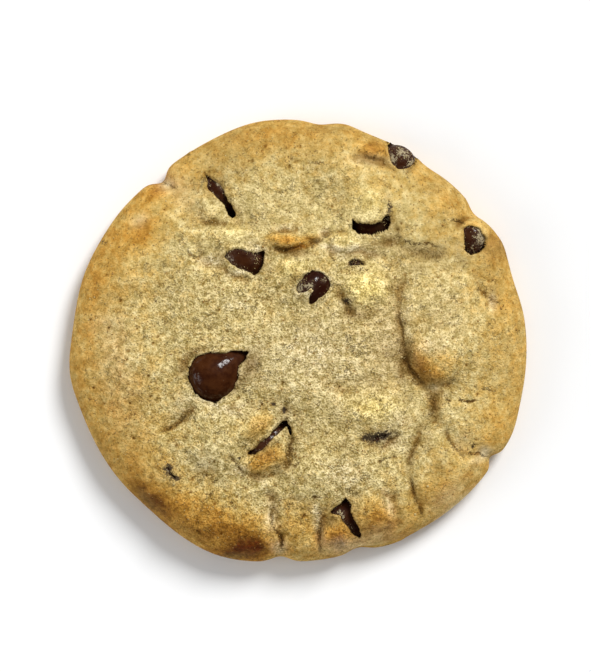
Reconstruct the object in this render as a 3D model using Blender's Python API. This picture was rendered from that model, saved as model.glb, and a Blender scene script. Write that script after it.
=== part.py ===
"""Chocolate chip cookie: one piece of dough with a socket for each chocolate chip.

Named sizes are in millimetres and angles in degrees. X runs to the right and Y to the
top of the cookie as seen from above, Z is up, and the flat underside rests at zero.
"""

import math

import bmesh
import bpy
import numpy as np
from mathutils import Matrix, Vector

MM = 0.001

# Outline of the dough seen from above
MEAN_RADIUS = 41.5
SWELLS = ((1, 0.6, -69.0), (2, 0.7, 6.0), (3, 0.45, -75.0), (4, 0.2, -44.0), (5, 0.25, 142.0))
RIM_LOBES = (
    (26.0, 4.5, 0.55),
    (60.5, 3.5, 0.3),
    (77.5, 4.0, 0.45),
    (101.0, 9.0, 0.45),
    (143.0, 8.0, 0.25),
    (188.5, 7.0, 0.5),
    (250.0, 10.0, 0.65),
    (296.0, 9.0, 0.7),
    (336.5, 6.0, 0.5),
)
RIM_NOTCHES = (
    (15.0, 6.0, 0.4),
    (36.0, 3.2, 0.8),
    (53.0, 4.0, 0.3),
    (84.5, 3.5, 0.5),
    (130.2, 2.6, 1.5),
    (174.0, 9.0, 0.45),
    (228.0, 9.0, 0.45),
    (265.5, 3.2, 1.1),
    (286.5, 3.4, 0.85),
    (328.9, 1.9, 1.2),
)

# Section of the dough from the middle to the rim
WIDEST_HEIGHT = 3.4
SHOULDER_RISE = 5.4
SHOULDER_POWER = 9.0
DOME_RISE = 3.6
FOOT_INSET = 2.2
LIP_ANGLE = 294.0
LIP_SPREAD = 9.0
LIP_REACH = 0.9
LIP_GROOVE = 0.5

# Low lumps on the top: x, y, half length, half width, turn, height
LUMPS = (
    (27.4, 3.4, 7.0, 9.4, 0.0, 0.7),
    (25.3, -3.3, 4.2, 3.7, 15.0, 0.3),
    (13.0, 25.5, 3.9, 3.4, 10.0, 1.1),
    (12.4, 9.9, 4.1, 3.6, 0.0, 0.8),
    (0.3, 14.0, 3.4, 2.6, 10.0, 0.6),
    (-11.4, 19.6, 5.2, 2.6, -10.0, 1.0),
    (-17.2, 25.2, 2.8, 3.2, 20.0, 1.1),
    (-8.4, 28.4, 6.0, 4.6, -20.0, 0.8),
    (14.4, -12.5, 4.8, 3.4, 10.0, 1.2),
    (-7.8, -15.6, 4.6, 2.1, 35.0, 0.5),
    (-6.0, -22.2, 4.4, 2.4, 22.0, 0.7),
    (13.9, -32.4, 4.5, 4.2, 0.0, 0.7),
    (7.2, -36.6, 3.0, 3.2, 0.0, 0.7),
    (27.3, -25.4, 6.8, 5.4, 45.0, 1.2),
    (29.4, -13.4, 5.2, 3.0, -20.0, 0.8),
    (36.0, -16.0, 3.0, 4.4, 0.0, 0.4),
    (16.4, -24.6, 5.2, 4.0, 0.0, 0.9),
    (4.0, -26.0, 5.4, 4.4, 0.0, 0.8),
    (-13.5, -35.0, 8.4, 4.2, -14.0, 0.8),
    (36.4, 17.7, 2.8, 4.0, 0.0, 0.6),
    (27.6, 25.0, 5.2, 3.4, -42.0, 0.8),
    (14.1, 35.7, 3.6, 1.6, -18.0, 0.9),
    (4.0, 32.0, 8.0, 4.0, 0.0, 0.6),
    (-30.0, 14.0, 8.0, 9.0, 0.0, 0.6),
    (-28.0, -7.0, 7.0, 8.0, 0.0, 0.7),
    (-16.0, -18.0, 6.0, 5.0, 0.0, 0.7),
    (-23.0, -29.0, 6.0, 4.4, -40.0, 0.6),
    (5.0, -4.0, 7.0, 7.0, 0.0, 0.6),
)
LUMP_POWER = 1.4

# Lumps with steep sides and a flat top, given in the same way
STEEP_LUMPS = (
    (27.2, 3.2, 8.2, 10.2, 0.0, 0.7),
    (25.4, -2.8, 5.0, 4.8, 15.0, 0.8),
    (12.6, 9.8, 4.1, 3.5, 0.0, 0.8),
    (0.2, 13.9, 3.4, 2.5, 10.0, 0.8),
    (-2.2, 18.6, 3.0, 1.3, -5.0, 1.1),
    (2.9, 19.6, 1.2, 0.8, 0.0, 0.7),
    (8.4, 18.2, 3.4, 1.5, -10.0, 0.8),
    (-6.4, -21.9, 3.9, 1.9, 25.0, 0.9),
    (-8.0, -15.6, 3.4, 1.7, 35.0, 0.6),
    (7.4, -36.4, 2.9, 3.0, 0.0, 0.8),
    (14.2, -32.2, 4.0, 3.8, 0.0, 0.6),
    (13.9, 35.6, 3.0, 1.4, -18.0, 0.6),
)
STEEP_POWER = 2.8

# Creases in the top: depth, half width, then the points that they run through
CREASES = (
    (0.8, 1.3, ((20.6, 12.9), (19.0, 9.2), (18.5, 4.0), (19.2, 0.1), (20.0, -3.6), (22.0, -6.8), (23.8, -8.4))),
    (0.6, 1.2, ((22.4, -7.4), (25.2, -8.4), (28.2, -8.1), (30.8, -6.4))),
    (1.0, 1.4, ((23.4, -7.9), (25.0, -10.5), (25.6, -13.6), (25.2, -15.4))),
    (0.9, 1.3, ((24.4, -14.2), (21.6, -18.6), (20.6, -23.5), (21.4, -28.0), (23.9, -33.5))),
    (0.7, 1.2, ((25.4, -15.0), (28.6, -18.5), (31.4, -20.7), (36.0, -21.6))),
    (0.7, 1.0, ((-25.7, -17.0), (-21.5, -14.7), (-18.6, -11.8))),
    (1.2, 1.5, ((15.2, 19.0), (18.4, 17.8), (21.4, 16.4), (24.6, 15.6), (28.2, 15.8))),
    (0.7, 1.2, ((5.0, 20.8), (6.0, 17.0), (7.0, 13.6))),
    (0.7, 1.3, ((8.4, 15.4), (13.7, 16.0), (17.4, 14.8), (20.0, 12.0))),
    (0.9, 1.2, ((-18.9, 26.6), (-17.4, 21.9), (-12.6, 21.6), (-10.4, 22.6))),
    (0.9, 1.4, ((-19.1, 19.8), (-17.3, 14.8), (-13.7, 13.2), (-9.6, 11.5), (-6.4, 11.8))),
    (0.7, 1.0, ((-5.6, 16.6), (-2.0, 16.2), (0.4, 16.4), (2.4, 17.2))),
    (0.6, 1.9, ((-26.0, 30.4), (-22.6, 28.4), (-17.8, 28.4))),
    (0.9, 1.3, ((-3.3, -39.2), (-3.0, -35.7), (-4.4, -31.5), (-5.6, -26.9))),
    (0.9, 1.3, ((11.0, -17.6), (15.4, -18.9), (19.6, -17.4))),
    (0.9, 1.1, ((-3.2, -15.2), (-1.1, -18.5), (-1.4, -21.3), (-2.8, -24.0))),
    (1.1, 1.3, ((-11.0, -22.9), (-6.7, -25.4), (-2.6, -24.4))),
    (0.9, 1.1, ((3.7, -41.0), (3.9, -35.5), (5.0, -31.6), (9.0, -28.6))),
    (0.8, 1.2, ((17.2, -27.6), (18.3, -32.6), (19.4, -37.0))),
    (0.7, 1.2, ((32.5, 23.7), (30.4, 22.3), (29.0, 20.6))),
    (0.7, 1.3, ((31.9, 14.4), (33.8, 9.4), (37.4, 6.0))),
    (0.9, 1.2, ((9.5, 34.4), (13.0, 33.4), (16.8, 33.0))),
    (1.2, 1.4, ((7.4, 8.4), (8.6, 6.6), (12.0, 5.2), (16.4, 6.4))),
    (0.7, 1.6, ((4.0, -8.0), (9.0, -8.6), (15.0, -7.6), (20.0, -6.8))),
)

# Gentle unevenness of the top: long waves that cross in every direction
WAVE_SEED = 11
WAVE_COUNT = 36
WAVE_LENGTHS = (6.0, 22.0)
WAVE_HEIGHT = 0.045

# Chocolate chips: centre x, y, rise of the axis over the dough, tip heading, tip tilt,
# width, length, then the outline of the opening in the dough through which each shows
CHIPS = {
    "chip_left": (
        (-15.0, -6.0, -2.7, 35.0, 5.0, 10.4, 13.4),
        ((-20.4, -5.4), (-19.6, -3.2), (-17.6, -2.2), (-14.0, -2.0), (-8.8, -1.6), (-9.8, -3.9),
         (-11.3, -7.7), (-12.5, -9.8), (-14.2, -11.3), (-16.4, -11.4), (-18.4, -10.2), (-19.8, -8.2)),
    ),
    "chip_upper_left": (
        (-14.6, 27.0, -4.0, -56.0, -8.0, 7.6, 10.6),
        ((-17.1, 30.9), (-15.6, 29.8), (-13.8, 28.4), (-12.7, 26.0), (-11.2, 23.6), (-12.0, 22.5),
         (-12.9, 23.3), (-13.6, 25.0), (-15.3, 26.7), (-16.5, 28.0), (-16.8, 29.4)),
    ),
    "chip_middle_left": (
        (-9.7, 15.3, -3.5, -10.0, 4.0, 8.6, 10.4),
        ((-14.0, 15.7), (-12.8, 16.8), (-11.1, 17.1), (-9.1, 16.5), (-7.4, 16.6), (-5.8, 17.0),
         (-6.3, 14.0), (-7.0, 12.7), (-8.0, 12.1), (-10.1, 13.2), (-12.5, 14.4)),
    ),
    "chip_middle": (
        (3.0, 9.6, -2.6, -50.0, 0.0, 7.6, 9.2),
        ((-1.0, 9.6), (0.3, 11.0), (1.4, 12.9), (2.8, 13.4), (5.0, 12.5), (6.2, 10.7), (5.7, 9.0),
         (4.2, 8.0), (3.2, 7.0), (2.2, 6.4), (1.6, 7.2), (0.5, 8.1)),
    ),
    "chip_upper_right": (
        (13.8, 22.1, -5.0, 16.0, 10.0, 8.0, 9.8),
        ((9.9, 20.9), (10.5, 22.4), (11.3, 22.2), (11.7, 21.5), (14.6, 21.5), (15.6, 22.8), (16.7, 24.8),
         (17.5, 23.4), (17.3, 20.8), (16.0, 20.1), (14.6, 19.7), (12.7, 19.7), (10.9, 20.2)),
    ),
    "chip_rim": (
        (18.5, 33.1, -1.7, 236.0, -8.0, 6.0, 7.2),
        ((16.5, 36.0), (20.0, 38.6), (24.0, 34.0), (21.0, 31.5), (19.2, 31.0), (17.2, 32.8)),
    ),
    "chip_right": (
        (32.1, 18.9, -2.7, -83.0, 0.0, 6.6, 8.2),
        ((29.8, 21.5), (31.4, 21.9), (33.2, 21.0), (34.5, 18.8), (34.2, 16.9), (32.3, 15.5),
         (30.8, 16.6), (30.7, 19.3)),
    ),
    "chip_folded": (
        (-5.2, -18.8, -4.5, 42.0, 0.0, 9.2, 12.2),
        ((-10.1, -20.8), (-7.9, -19.0), (-5.3, -17.3), (-3.5, -15.6), (-1.9, -14.3), (-0.9, -15.3),
         (-0.6, -17.9), (-1.3, -20.5), (-2.2, -21.6), (-2.9, -20.2), (-4.1, -19.7), (-6.6, -20.1),
         (-9.3, -21.2)),
    ),
    "chip_lower": (
        (9.0, -32.6, -3.5, -54.0, 0.0, 6.8, 8.6),
        ((5.8, -31.6), (7.2, -30.4), (8.8, -29.2), (9.8, -30.2), (9.7, -32.1), (11.7, -35.1),
         (12.0, -36.2), (11.0, -36.3), (9.2, -34.8), (7.8, -33.0), (6.6, -32.5)),
    ),
    "chip_lower_right": (
        (15.3, -17.9, -3.1, 6.0, 0.0, 5.8, 7.0),
        ((13.4, -18.4), (14.5, -17.6), (15.8, -17.3), (17.4, -16.7), (16.8, -17.5), (15.4, -17.9),
         (14.4, -18.4)),
    ),
    "chip_lower_left": (
        (-23.6, -24.1, -3.0, 40.0, 0.0, 5.6, 6.8),
        ((-24.6, -22.9), (-23.8, -23.0), (-23.3, -24.2), (-22.1, -25.3), (-22.7, -25.6),
         (-23.9, -24.6), (-24.4, -23.9)),
    ),
    "chip_small": (
        (11.1, 14.6, -2.9, 8.0, 0.0, 5.4, 6.6),
        ((9.3, 14.0), (10.1, 14.7), (11.2, 14.9), (12.5, 14.2), (11.4, 14.1), (10.3, 13.9)),
    ),
}
CHIP_GAP = 0.3
OPENING_REACH = 3.0
OPENING_DEPTH = 1.7
OPENING_FLARE = 0.12

# Fineness of the meshes
GRID_STEPS = 52
SIDE_ROWS = 5
CHIP_SIDES = 14
CHIP_ROWS = 8

FINISHES = {
    "baked_dough": ((0.545, 0.365, 0.125), 0.75),
    "chocolate": ((0.062, 0.022, 0.009), 0.38),
}


def clear_scene():
    """Removes every object that the file starts with."""
    for obj in list(bpy.data.objects):
        bpy.data.objects.remove(obj, do_unlink=True)


def finish_material(name):
    """Material of one finish: its colour and roughness."""
    colour, roughness = FINISHES[name]
    material = bpy.data.materials.new(name)
    material.use_nodes = True
    shader = material.node_tree.nodes["Principled BSDF"]
    shader.inputs["Base Color"].default_value = (*colour, 1.0)
    shader.inputs["Roughness"].default_value = roughness
    shader.inputs["Metallic"].default_value = 0.0
    return material


def angle_bumps(angle, bumps):
    """Sum of bell-shaped bumps, each a middle, a spread and a height, round the rim."""
    total = np.zeros_like(angle)
    for middle, spread, height in bumps:
        away = (angle - middle + 180.0) % 360.0 - 180.0
        total += height * np.exp(-((away / spread) ** 2))
    return total


def rim_radius(angle):
    """Distance from the middle to the rim: a slow swell, with lobes added and notches taken."""
    swell = np.full_like(angle, MEAN_RADIUS)
    for turns, height, phase in SWELLS:
        swell += height * np.cos(np.radians(turns * angle - phase))
    return swell + angle_bumps(angle, RIM_LOBES) - angle_bumps(angle, RIM_NOTCHES)


def rim_middle():
    """Middle of the outline's box, which the dough is shifted by."""
    angle = np.linspace(0.0, 360.0, 1441)
    radius = rim_radius(angle)
    x = radius * np.cos(np.radians(angle))
    y = radius * np.sin(np.radians(angle))
    return (x.min() + x.max()) / 2.0, (y.min() + y.max()) / 2.0


def lip_share(angle):
    """How far the lower lip stands out at each angle, from 0 to 1."""
    return angle_bumps(angle, ((LIP_ANGLE, LIP_SPREAD, 1.0),))


def dome_height(share):
    """Height of the smooth top at a share of the way out to the rim."""
    share = np.clip(share, 0.0, 1.0)
    shoulder = SHOULDER_RISE * np.sqrt(1.0 - share**SHOULDER_POWER)
    return WIDEST_HEIGHT + shoulder + DOME_RISE * (1.0 - share**2)


def crease_distance(x, y, points):
    """Distance from each place to a crease, and the share of the way along it."""
    nearest = np.full_like(x, 1.0e6)
    along = np.zeros_like(x)
    spans = len(points) - 1
    for index in range(spans):
        (ax, ay), (bx, by) = points[index], points[index + 1]
        dx, dy = bx - ax, by - ay
        place = np.clip(((x - ax) * dx + (y - ay) * dy) / (dx * dx + dy * dy), 0.0, 1.0)
        away = np.hypot(x - ax - place * dx, y - ay - place * dy)
        along = np.where(away < nearest, (index + place) / spans, along)
        nearest = np.minimum(nearest, away)
    return nearest, along


def crossing_waves(x, y):
    """Sum of long waves of drawn lengths, directions and phases."""
    draw = np.random.default_rng(WAVE_SEED)
    lengths = draw.uniform(*WAVE_LENGTHS, WAVE_COUNT)
    turns = draw.uniform(0.0, 2.0 * math.pi, WAVE_COUNT)
    phases = draw.uniform(0.0, 2.0 * math.pi, WAVE_COUNT)
    total = np.zeros_like(x)
    for length, turn, phase in zip(lengths, turns, phases):
        way = (x * math.cos(turn) + y * math.sin(turn)) * 2.0 * math.pi / length
        total += WAVE_HEIGHT * np.sqrt(length / WAVE_LENGTHS[0]) * np.sin(way + phase)
    return total


def relief(x, y):
    """Lumps less creases, in millimetres over the smooth top."""
    total = np.zeros_like(x)
    for lumps, power in ((LUMPS, LUMP_POWER), (STEEP_LUMPS, STEEP_POWER)):
        for cx, cy, long, wide, turn, height in lumps:
            cosine, sine = math.cos(math.radians(turn)), math.sin(math.radians(turn))
            u = ((x - cx) * cosine + (y - cy) * sine) / long
            v = ((y - cy) * cosine - (x - cx) * sine) / wide
            total += height * np.exp(-((u**2 + v**2) ** power))
    for depth, half, points in CREASES:
        away, along = crease_distance(x, y, points)
        total -= depth * np.exp(-((away / half) ** 2)) * (1.0 - (2.0 * along - 1.0) ** 4)
    return total + crossing_waves(x, y)


def rim_share(x, y):
    """Share of the way out to the upper rim at each place."""
    angle = np.degrees(np.arctan2(y, x))
    return np.hypot(x, y) / (rim_radius(angle) - LIP_REACH * lip_share(angle))


def top_height(x, y):
    """Height of the top: the smooth dome with the relief faded out down the rim's side."""
    share = rim_share(x, y)
    fade = np.clip((1.0 - share) / 0.1, 0.0, 1.0)
    return dome_height(share) + relief(x, y) * fade * fade * (3.0 - 2.0 * fade)


def even_shares(fraction):
    """Shares of the way out that divide the top's section into even lengths of surface."""
    share = np.sin(np.linspace(0.0, math.pi / 2.0, 721))
    step = np.hypot(np.diff(share) * MEAN_RADIUS, np.diff(dome_height(share)))
    length = np.concatenate([[0.0], np.cumsum(step)])
    return np.interp(fraction, length / length[-1], share)


def square_to_disc():
    """Way out and angle of each grid point, square rings of the grid becoming circles."""
    line = np.linspace(-1.0, 1.0, GRID_STEPS + 1)
    u, v = (part.ravel() for part in np.meshgrid(line, line, indexing="ij"))
    wide = np.abs(u) > np.abs(v)
    fraction = np.maximum(np.abs(u), np.abs(v))
    safe_u = np.where(u == 0.0, 1.0, u)
    safe_v = np.where(v == 0.0, 1.0, v)
    angle = np.where(wide, 45.0 * v / safe_u, 90.0 - 45.0 * u / safe_v)
    angle = np.where(wide & (u < 0.0), angle + 180.0, angle)
    angle = np.where(~wide & (v < 0.0), angle + 180.0, angle)
    return fraction, angle


def grid_border():
    """Indices of the grid's outer points, in order round it anticlockwise."""
    last = GRID_STEPS
    row = GRID_STEPS + 1
    right = [last * row + j for j in range(last)]
    top = [i * row + last for i in range(last, 0, -1)]
    left = [j for j in range(last, 0, -1)]
    bottom = [i * row for i in range(last)]
    return right + top + left + bottom


def dough_mesh():
    """Closed dough body: gridded top, rounded side rows and a flat underside."""
    fraction, angle = square_to_disc()
    upper = rim_radius(angle) - LIP_REACH * lip_share(angle)
    radius = even_shares(fraction) * upper
    x = radius * np.cos(np.radians(angle))
    y = radius * np.sin(np.radians(angle))
    z = top_height(x, y)
    rows = [np.stack([x, y, z], axis=1)]
    border = grid_border()
    edge_angle = angle[border]
    lip = lip_share(edge_angle)
    full = rim_radius(edge_angle)
    for row in range(1, SIDE_ROWS + 1):
        turn = 90.0 * row / SIDE_ROWS
        inset = FOOT_INSET * (1.0 - math.cos(math.radians(turn)))
        groove = LIP_GROOVE * math.exp(-(((row - 1.0) / 0.7) ** 2))
        reach = np.where(row > 1, 0.0, LIP_REACH)
        side = full - inset - lip * (reach + groove - 0.35 * inset)
        height = np.full_like(side, WIDEST_HEIGHT * (1.0 - math.sin(math.radians(turn))))
        cosine, sine = np.cos(np.radians(edge_angle)), np.sin(np.radians(edge_angle))
        rows.append(np.stack([side * cosine, side * sine, height], axis=1))
    points = np.concatenate(rows)
    shift_x, shift_y = rim_middle()
    points[:, 0] -= shift_x
    points[:, 1] -= shift_y
    body = bmesh.new()
    verts = [body.verts.new(tuple(point * MM)) for point in points]
    count = GRID_STEPS + 1
    for i in range(GRID_STEPS):
        for j in range(GRID_STEPS):
            first = i * count + j
            body.faces.new([verts[k] for k in (first, first + count, first + count + 1, first + 1)])
    above = border
    start = count * count
    around = len(border)
    for row in range(SIDE_ROWS):
        below = [start + row * around + k for k in range(around)]
        for k in range(around):
            n = (k + 1) % around
            body.faces.new([verts[q] for q in (above[n], above[k], below[k], below[n])])
        above = below
    middle = body.verts.new((-shift_x * MM, -shift_y * MM, 0.0))
    for k in range(around):
        n = (k + 1) % around
        body.faces.new([verts[above[n]], verts[above[k]], middle])
    bmesh.ops.triangulate(body, faces=body.faces)
    bmesh.ops.recalc_face_normals(body, faces=body.faces)
    return body


def chip_section(width, length):
    """Radius and distance from the back of a teardrop: a round base drawn out to a pointed tip."""
    turn = np.linspace(0.0, math.pi, CHIP_ROWS + 1)
    along = (1.0 - np.cos(turn)) / 2.0
    bulge = np.sin(turn) * np.maximum(np.cos(turn / 2.0), 0.0)
    return width / 2.0 * bulge / bulge.max(), along * length


def grown_section(radius, along, gap):
    """The section moved outwards along its own normal by a gap."""
    slope_r = np.gradient(radius)
    slope_a = np.gradient(along)
    slope_r[0], slope_a[0] = 1.0, 0.0
    slope_r[-1], slope_a[-1] = -1.0, 0.0
    size = np.hypot(slope_r, slope_a)
    return np.maximum(radius + gap * slope_a / size, 0.0), along - gap * slope_r / size


def chip_frame(spec):
    """Placement of a chip: its middle over the dough, its axis towards heading and tilt."""
    x, y, rise, heading, tilt = spec[:5]
    height = float(top_height(np.array([x]), np.array([y]))[0]) + rise
    level, lift = math.radians(heading), math.radians(tilt)
    ahead = Vector((math.cos(level) * math.cos(lift), math.sin(level) * math.cos(lift), math.sin(lift)))
    turn = Vector((0.0, 0.0, 1.0)).rotation_difference(ahead).to_matrix().to_4x4()
    return Matrix.Translation(Vector((x, y, height)) * MM) @ turn


def teardrop_mesh(spec, gap):
    """Closed teardrop about its own Z axis, grown by a gap."""
    width, length = spec[5:7]
    radius, along = grown_section(*chip_section(width, length), gap)
    middle = 0.42 * length
    body = bmesh.new()
    back = body.verts.new((0.0, 0.0, (along[0] - middle) * MM))
    tip = body.verts.new((0.0, 0.0, (along[-1] - middle) * MM))
    rings = []
    for index in range(1, CHIP_ROWS):
        ring = []
        for side in range(CHIP_SIDES):
            turn = 2.0 * math.pi * side / CHIP_SIDES
            place = (radius[index] * math.cos(turn), radius[index] * math.sin(turn), along[index] - middle)
            ring.append(body.verts.new(Vector(place) * MM))
        rings.append(ring)
    for side in range(CHIP_SIDES):
        following = (side + 1) % CHIP_SIDES
        body.faces.new([back, rings[0][following], rings[0][side]])
        body.faces.new([tip, rings[-1][side], rings[-1][following]])
        for lower, upper in zip(rings, rings[1:]):
            body.faces.new([lower[side], lower[following], upper[following], upper[side]])
    bmesh.ops.recalc_face_normals(body, faces=body.faces)
    return body


def opening_mesh(spec, outline):
    """Flared prism over a chip, from inside its socket to clear of the dough."""
    x = np.array([point[0] for point in outline])
    y = np.array([point[1] for point in outline])
    surface = float(top_height(np.array([spec[0]]), np.array([spec[1]]))[0])
    levels = ((surface - OPENING_DEPTH, 1.0 - OPENING_FLARE), (surface + OPENING_REACH, 1.0 + OPENING_FLARE))
    body = bmesh.new()
    rings = []
    for height, scale in levels:
        px = x.mean() + (x - x.mean()) * scale
        py = y.mean() + (y - y.mean()) * scale
        rings.append([body.verts.new(Vector((a, b, height)) * MM) for a, b in zip(px, py)])
    body.faces.new(rings[0])
    body.faces.new(rings[1])
    for k in range(len(outline)):
        n = (k + 1) % len(outline)
        body.faces.new([rings[0][k], rings[0][n], rings[1][n], rings[1][k]])
    bmesh.ops.recalc_face_normals(body, faces=body.faces)
    return body


def add_object(name, body, placement=None, material=None):
    """Named object from a finished body, which is freed."""
    mesh = bpy.data.meshes.new(name)
    body.to_mesh(mesh)
    body.free()
    obj = bpy.data.objects.new(name, mesh)
    bpy.context.scene.collection.objects.link(obj)
    if placement is not None:
        obj.matrix_world = placement
    if material is not None:
        mesh.materials.append(material)
    for face in mesh.polygons:
        face.use_smooth = True
    return obj


def add_cutter(name, body, target, placement=None):
    """Hidden cutter whose volume is taken out of the target."""
    cutter = add_object(name, body, placement)
    cutter.hide_render = True
    cutter.display_type = "WIRE"
    cut = target.modifiers.new(name, "BOOLEAN")
    cut.operation = "DIFFERENCE"
    cut.solver = "EXACT"
    cut.object = cutter


def build_cookie():
    """Dough, its sockets and the chips that lie in them."""
    clear_scene()
    chocolate = finish_material("chocolate")
    dough = add_object("cookie_dough", dough_mesh(), material=finish_material("baked_dough"))
    for name, (spec, outline) in CHIPS.items():
        placement = chip_frame(spec)
        add_object(name, teardrop_mesh(spec, 0.0), placement, chocolate)
        add_cutter(f"socket_of_{name}", teardrop_mesh(spec, CHIP_GAP), dough, placement)
        add_cutter(f"opening_of_{name}", opening_mesh(spec, outline), dough)


build_cookie()
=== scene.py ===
"""Dressed chocolate chip cookie: lumpy baked dough, chocolate chips and loose crumbs.

Sizes are in millimetres and angles in degrees unless a name says otherwise. X runs to the
right and Y to the top of the cookie as seen from above, and Z is up from the underside.
"""

import logging
import math
from dataclasses import dataclass, field
from enum import Enum

import bpy
import numpy as np
from mathutils import Matrix, Vector


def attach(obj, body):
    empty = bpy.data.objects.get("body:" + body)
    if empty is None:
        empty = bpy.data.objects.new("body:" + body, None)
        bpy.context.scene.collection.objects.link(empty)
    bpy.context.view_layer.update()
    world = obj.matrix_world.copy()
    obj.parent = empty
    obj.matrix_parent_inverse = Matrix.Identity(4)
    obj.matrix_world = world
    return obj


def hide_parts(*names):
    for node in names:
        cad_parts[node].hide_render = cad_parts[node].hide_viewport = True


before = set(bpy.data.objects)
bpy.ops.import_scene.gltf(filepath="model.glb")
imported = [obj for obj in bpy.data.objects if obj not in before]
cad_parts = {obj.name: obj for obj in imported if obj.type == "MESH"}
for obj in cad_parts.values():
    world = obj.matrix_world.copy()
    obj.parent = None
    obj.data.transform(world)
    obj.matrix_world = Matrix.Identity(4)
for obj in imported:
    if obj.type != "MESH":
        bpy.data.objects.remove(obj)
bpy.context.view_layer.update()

MM = 0.001
ROOT = "root"
Colour = tuple[float, float, float]
Point = tuple[float, float]
Points = tuple[Point, ...]
Bumps = tuple[tuple[float, float, float], ...]
Range = tuple[float, float, float, float]
Noise = tuple[float, float, int]
Socket = bpy.types.NodeSocket
LOG = logging.getLogger("cookie")


def smooth(share: np.ndarray) -> np.ndarray:
    """Straight share eased at both ends: three times its square less twice its cube."""
    return share * share * (3.0 - 2.0 * share)


def eased(value: np.ndarray, low: float, high: float) -> np.ndarray:
    """Share of the way from low to high, held to 0 and 1 and eased at both ends.

    Args:
        value: numbers to place between low and high.
        low: value that gives 0.
        high: value that gives 1.

    Returns:
        Array of shares.
    """
    return smooth(np.clip((value - low) / (high - low), 0.0, 1.0))


def span_gap(x: np.ndarray, y: np.ndarray, start: Point, end: Point) -> tuple[np.ndarray, np.ndarray]:
    """Way along a straight span to its point nearest each place, and the distance to it.

    Args:
        x: places across.
        y: places up.
        start: the span's first end.
        end: its last end.

    Returns:
        Shares of the way from start to end, and distances.
    """
    (ax, ay), (dx, dy) = start, (end[0] - start[0], end[1] - start[1])
    along = np.clip(((x - ax) * dx + (y - ay) * dy) / (dx * dx + dy * dy), 0.0, 1.0)
    return along, np.hypot(x - ax - along * dx, y - ay - along * dy)


def pointing(heading: float, lift: float) -> Vector:
    """Unit arrow turned from X about Z by a heading, then raised by a lift."""
    level, up = math.radians(heading), math.radians(lift)
    return Vector((math.cos(level) * math.cos(up), math.sin(level) * math.cos(up), math.sin(up)))


@dataclass(frozen=True)
class Lattice:
    """Random heights on a cubic lattice, read smoothly between its points."""

    seed: int
    side: int = 48
    first_height: float = 0.55
    fading: float = 0.6
    shift: float = 7.7

    def sample(self, points: np.ndarray, cell: float) -> np.ndarray:
        """Height at each point: its eight corner heights weighted by eased shares.

        Args:
            points: places, one row each.
            cell: spacing of the lattice.

        Returns:
            Heights between -1 and 1.
        """
        table = np.random.default_rng(self.seed).uniform(-1.0, 1.0, (self.side,) * 3)
        scaled = points / cell
        low = np.floor(scaled).astype(np.int64)
        share = smooth(scaled - low)
        total = np.zeros(len(points))
        for corner in range(8):
            step = np.array([corner & 1, (corner >> 1) & 1, corner >> 2])
            at = (low + step) % self.side
            weight = np.prod(np.where(step == 1, share, 1.0 - share), axis=1)
            total += weight * table[at[:, 0], at[:, 1], at[:, 2]]
        return total

    def fractal(self, points: np.ndarray, cell: float, octaves: int) -> np.ndarray:
        """Sum of ever finer samples, each half as wide and a little over half as high.

        Args:
            points: places, one row each.
            cell: spacing of the coarsest lattice.
            octaves: number of samples added.

        Returns:
            Heights of about -1 to 1.
        """
        total = np.zeros(len(points))
        height = self.first_height
        for octave in range(octaves):
            total += height * self.sample(points + self.shift * octave, cell / 2.0**octave)
            height *= self.fading
        return total


@dataclass(frozen=True)
class Patch:
    """Soft oval spot: middle, half length, half width, turn and strength."""

    x: float
    y: float
    long: float
    wide: float
    turn: float
    strength: float

    def spread(self, x: np.ndarray, y: np.ndarray, power: float = 1.0) -> np.ndarray:
        """Bell over an oval: strength times e to the minus squared distance in half sizes.

        Args:
            x: places across.
            y: places up.
            power: power of the squared distance; more than 1 gives a flatter top.

        Returns:
            The spot's share at each place.
        """
        cosine, sine = math.cos(math.radians(self.turn)), math.sin(math.radians(self.turn))
        u = ((x - self.x) * cosine + (y - self.y) * sine) / self.long
        v = ((y - self.y) * cosine - (x - self.x) * sine) / self.wide
        return self.strength * np.exp(-((u * u + v * v) ** power))


def patches(*rows: tuple[float, ...]) -> tuple[Patch, ...]:
    """Soft spots, one from each row of six numbers."""
    return tuple(Patch(*row) for row in rows)


def total_spread(spots: tuple[Patch, ...], x: np.ndarray, y: np.ndarray) -> np.ndarray:
    """Sum of a run of soft spots at each place."""
    return sum((spot.spread(x, y) for spot in spots), np.zeros_like(x))


@dataclass(frozen=True)
class Crease:
    """Groove along a run of points, fading out at its two ends."""

    depth: float
    half: float
    points: Points

    def away(self, x: np.ndarray, y: np.ndarray) -> tuple[np.ndarray, np.ndarray, np.ndarray]:
        """Distance to the nearest span, the share of the way along the run, and the side.

        Args:
            x: places across.
            y: places up.

        Returns:
            The distances, the shares, and 1 to the left of the run or -1 to its right.
        """
        nearest = np.full_like(x, 1.0e6)
        along = np.zeros_like(x)
        side = np.ones_like(x)
        spans = len(self.points) - 1
        for index in range(spans):
            (ax, ay), (bx, by) = self.points[index], self.points[index + 1]
            place, gap = span_gap(x, y, self.points[index], self.points[index + 1])
            on_left = (bx - ax) * (y - ay) > (by - ay) * (x - ax)
            along = np.where(gap < nearest, (index + place) / spans, along)
            side = np.where(gap < nearest, np.where(on_left, 1.0, -1.0), side)
            nearest = np.minimum(nearest, gap)
        return nearest, along, side

    def groove(self, x: np.ndarray, y: np.ndarray) -> np.ndarray:
        """Depth at each place: a bell across the run, full in its middle and none at its ends.

        Args:
            x: places across.
            y: places up.

        Returns:
            Depths, zero or more.
        """
        gap, along, _ = self.away(x, y)
        return self.depth * np.exp(-((gap / self.half) ** 2)) * (1.0 - (2.0 * along - 1.0) ** 4)


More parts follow.
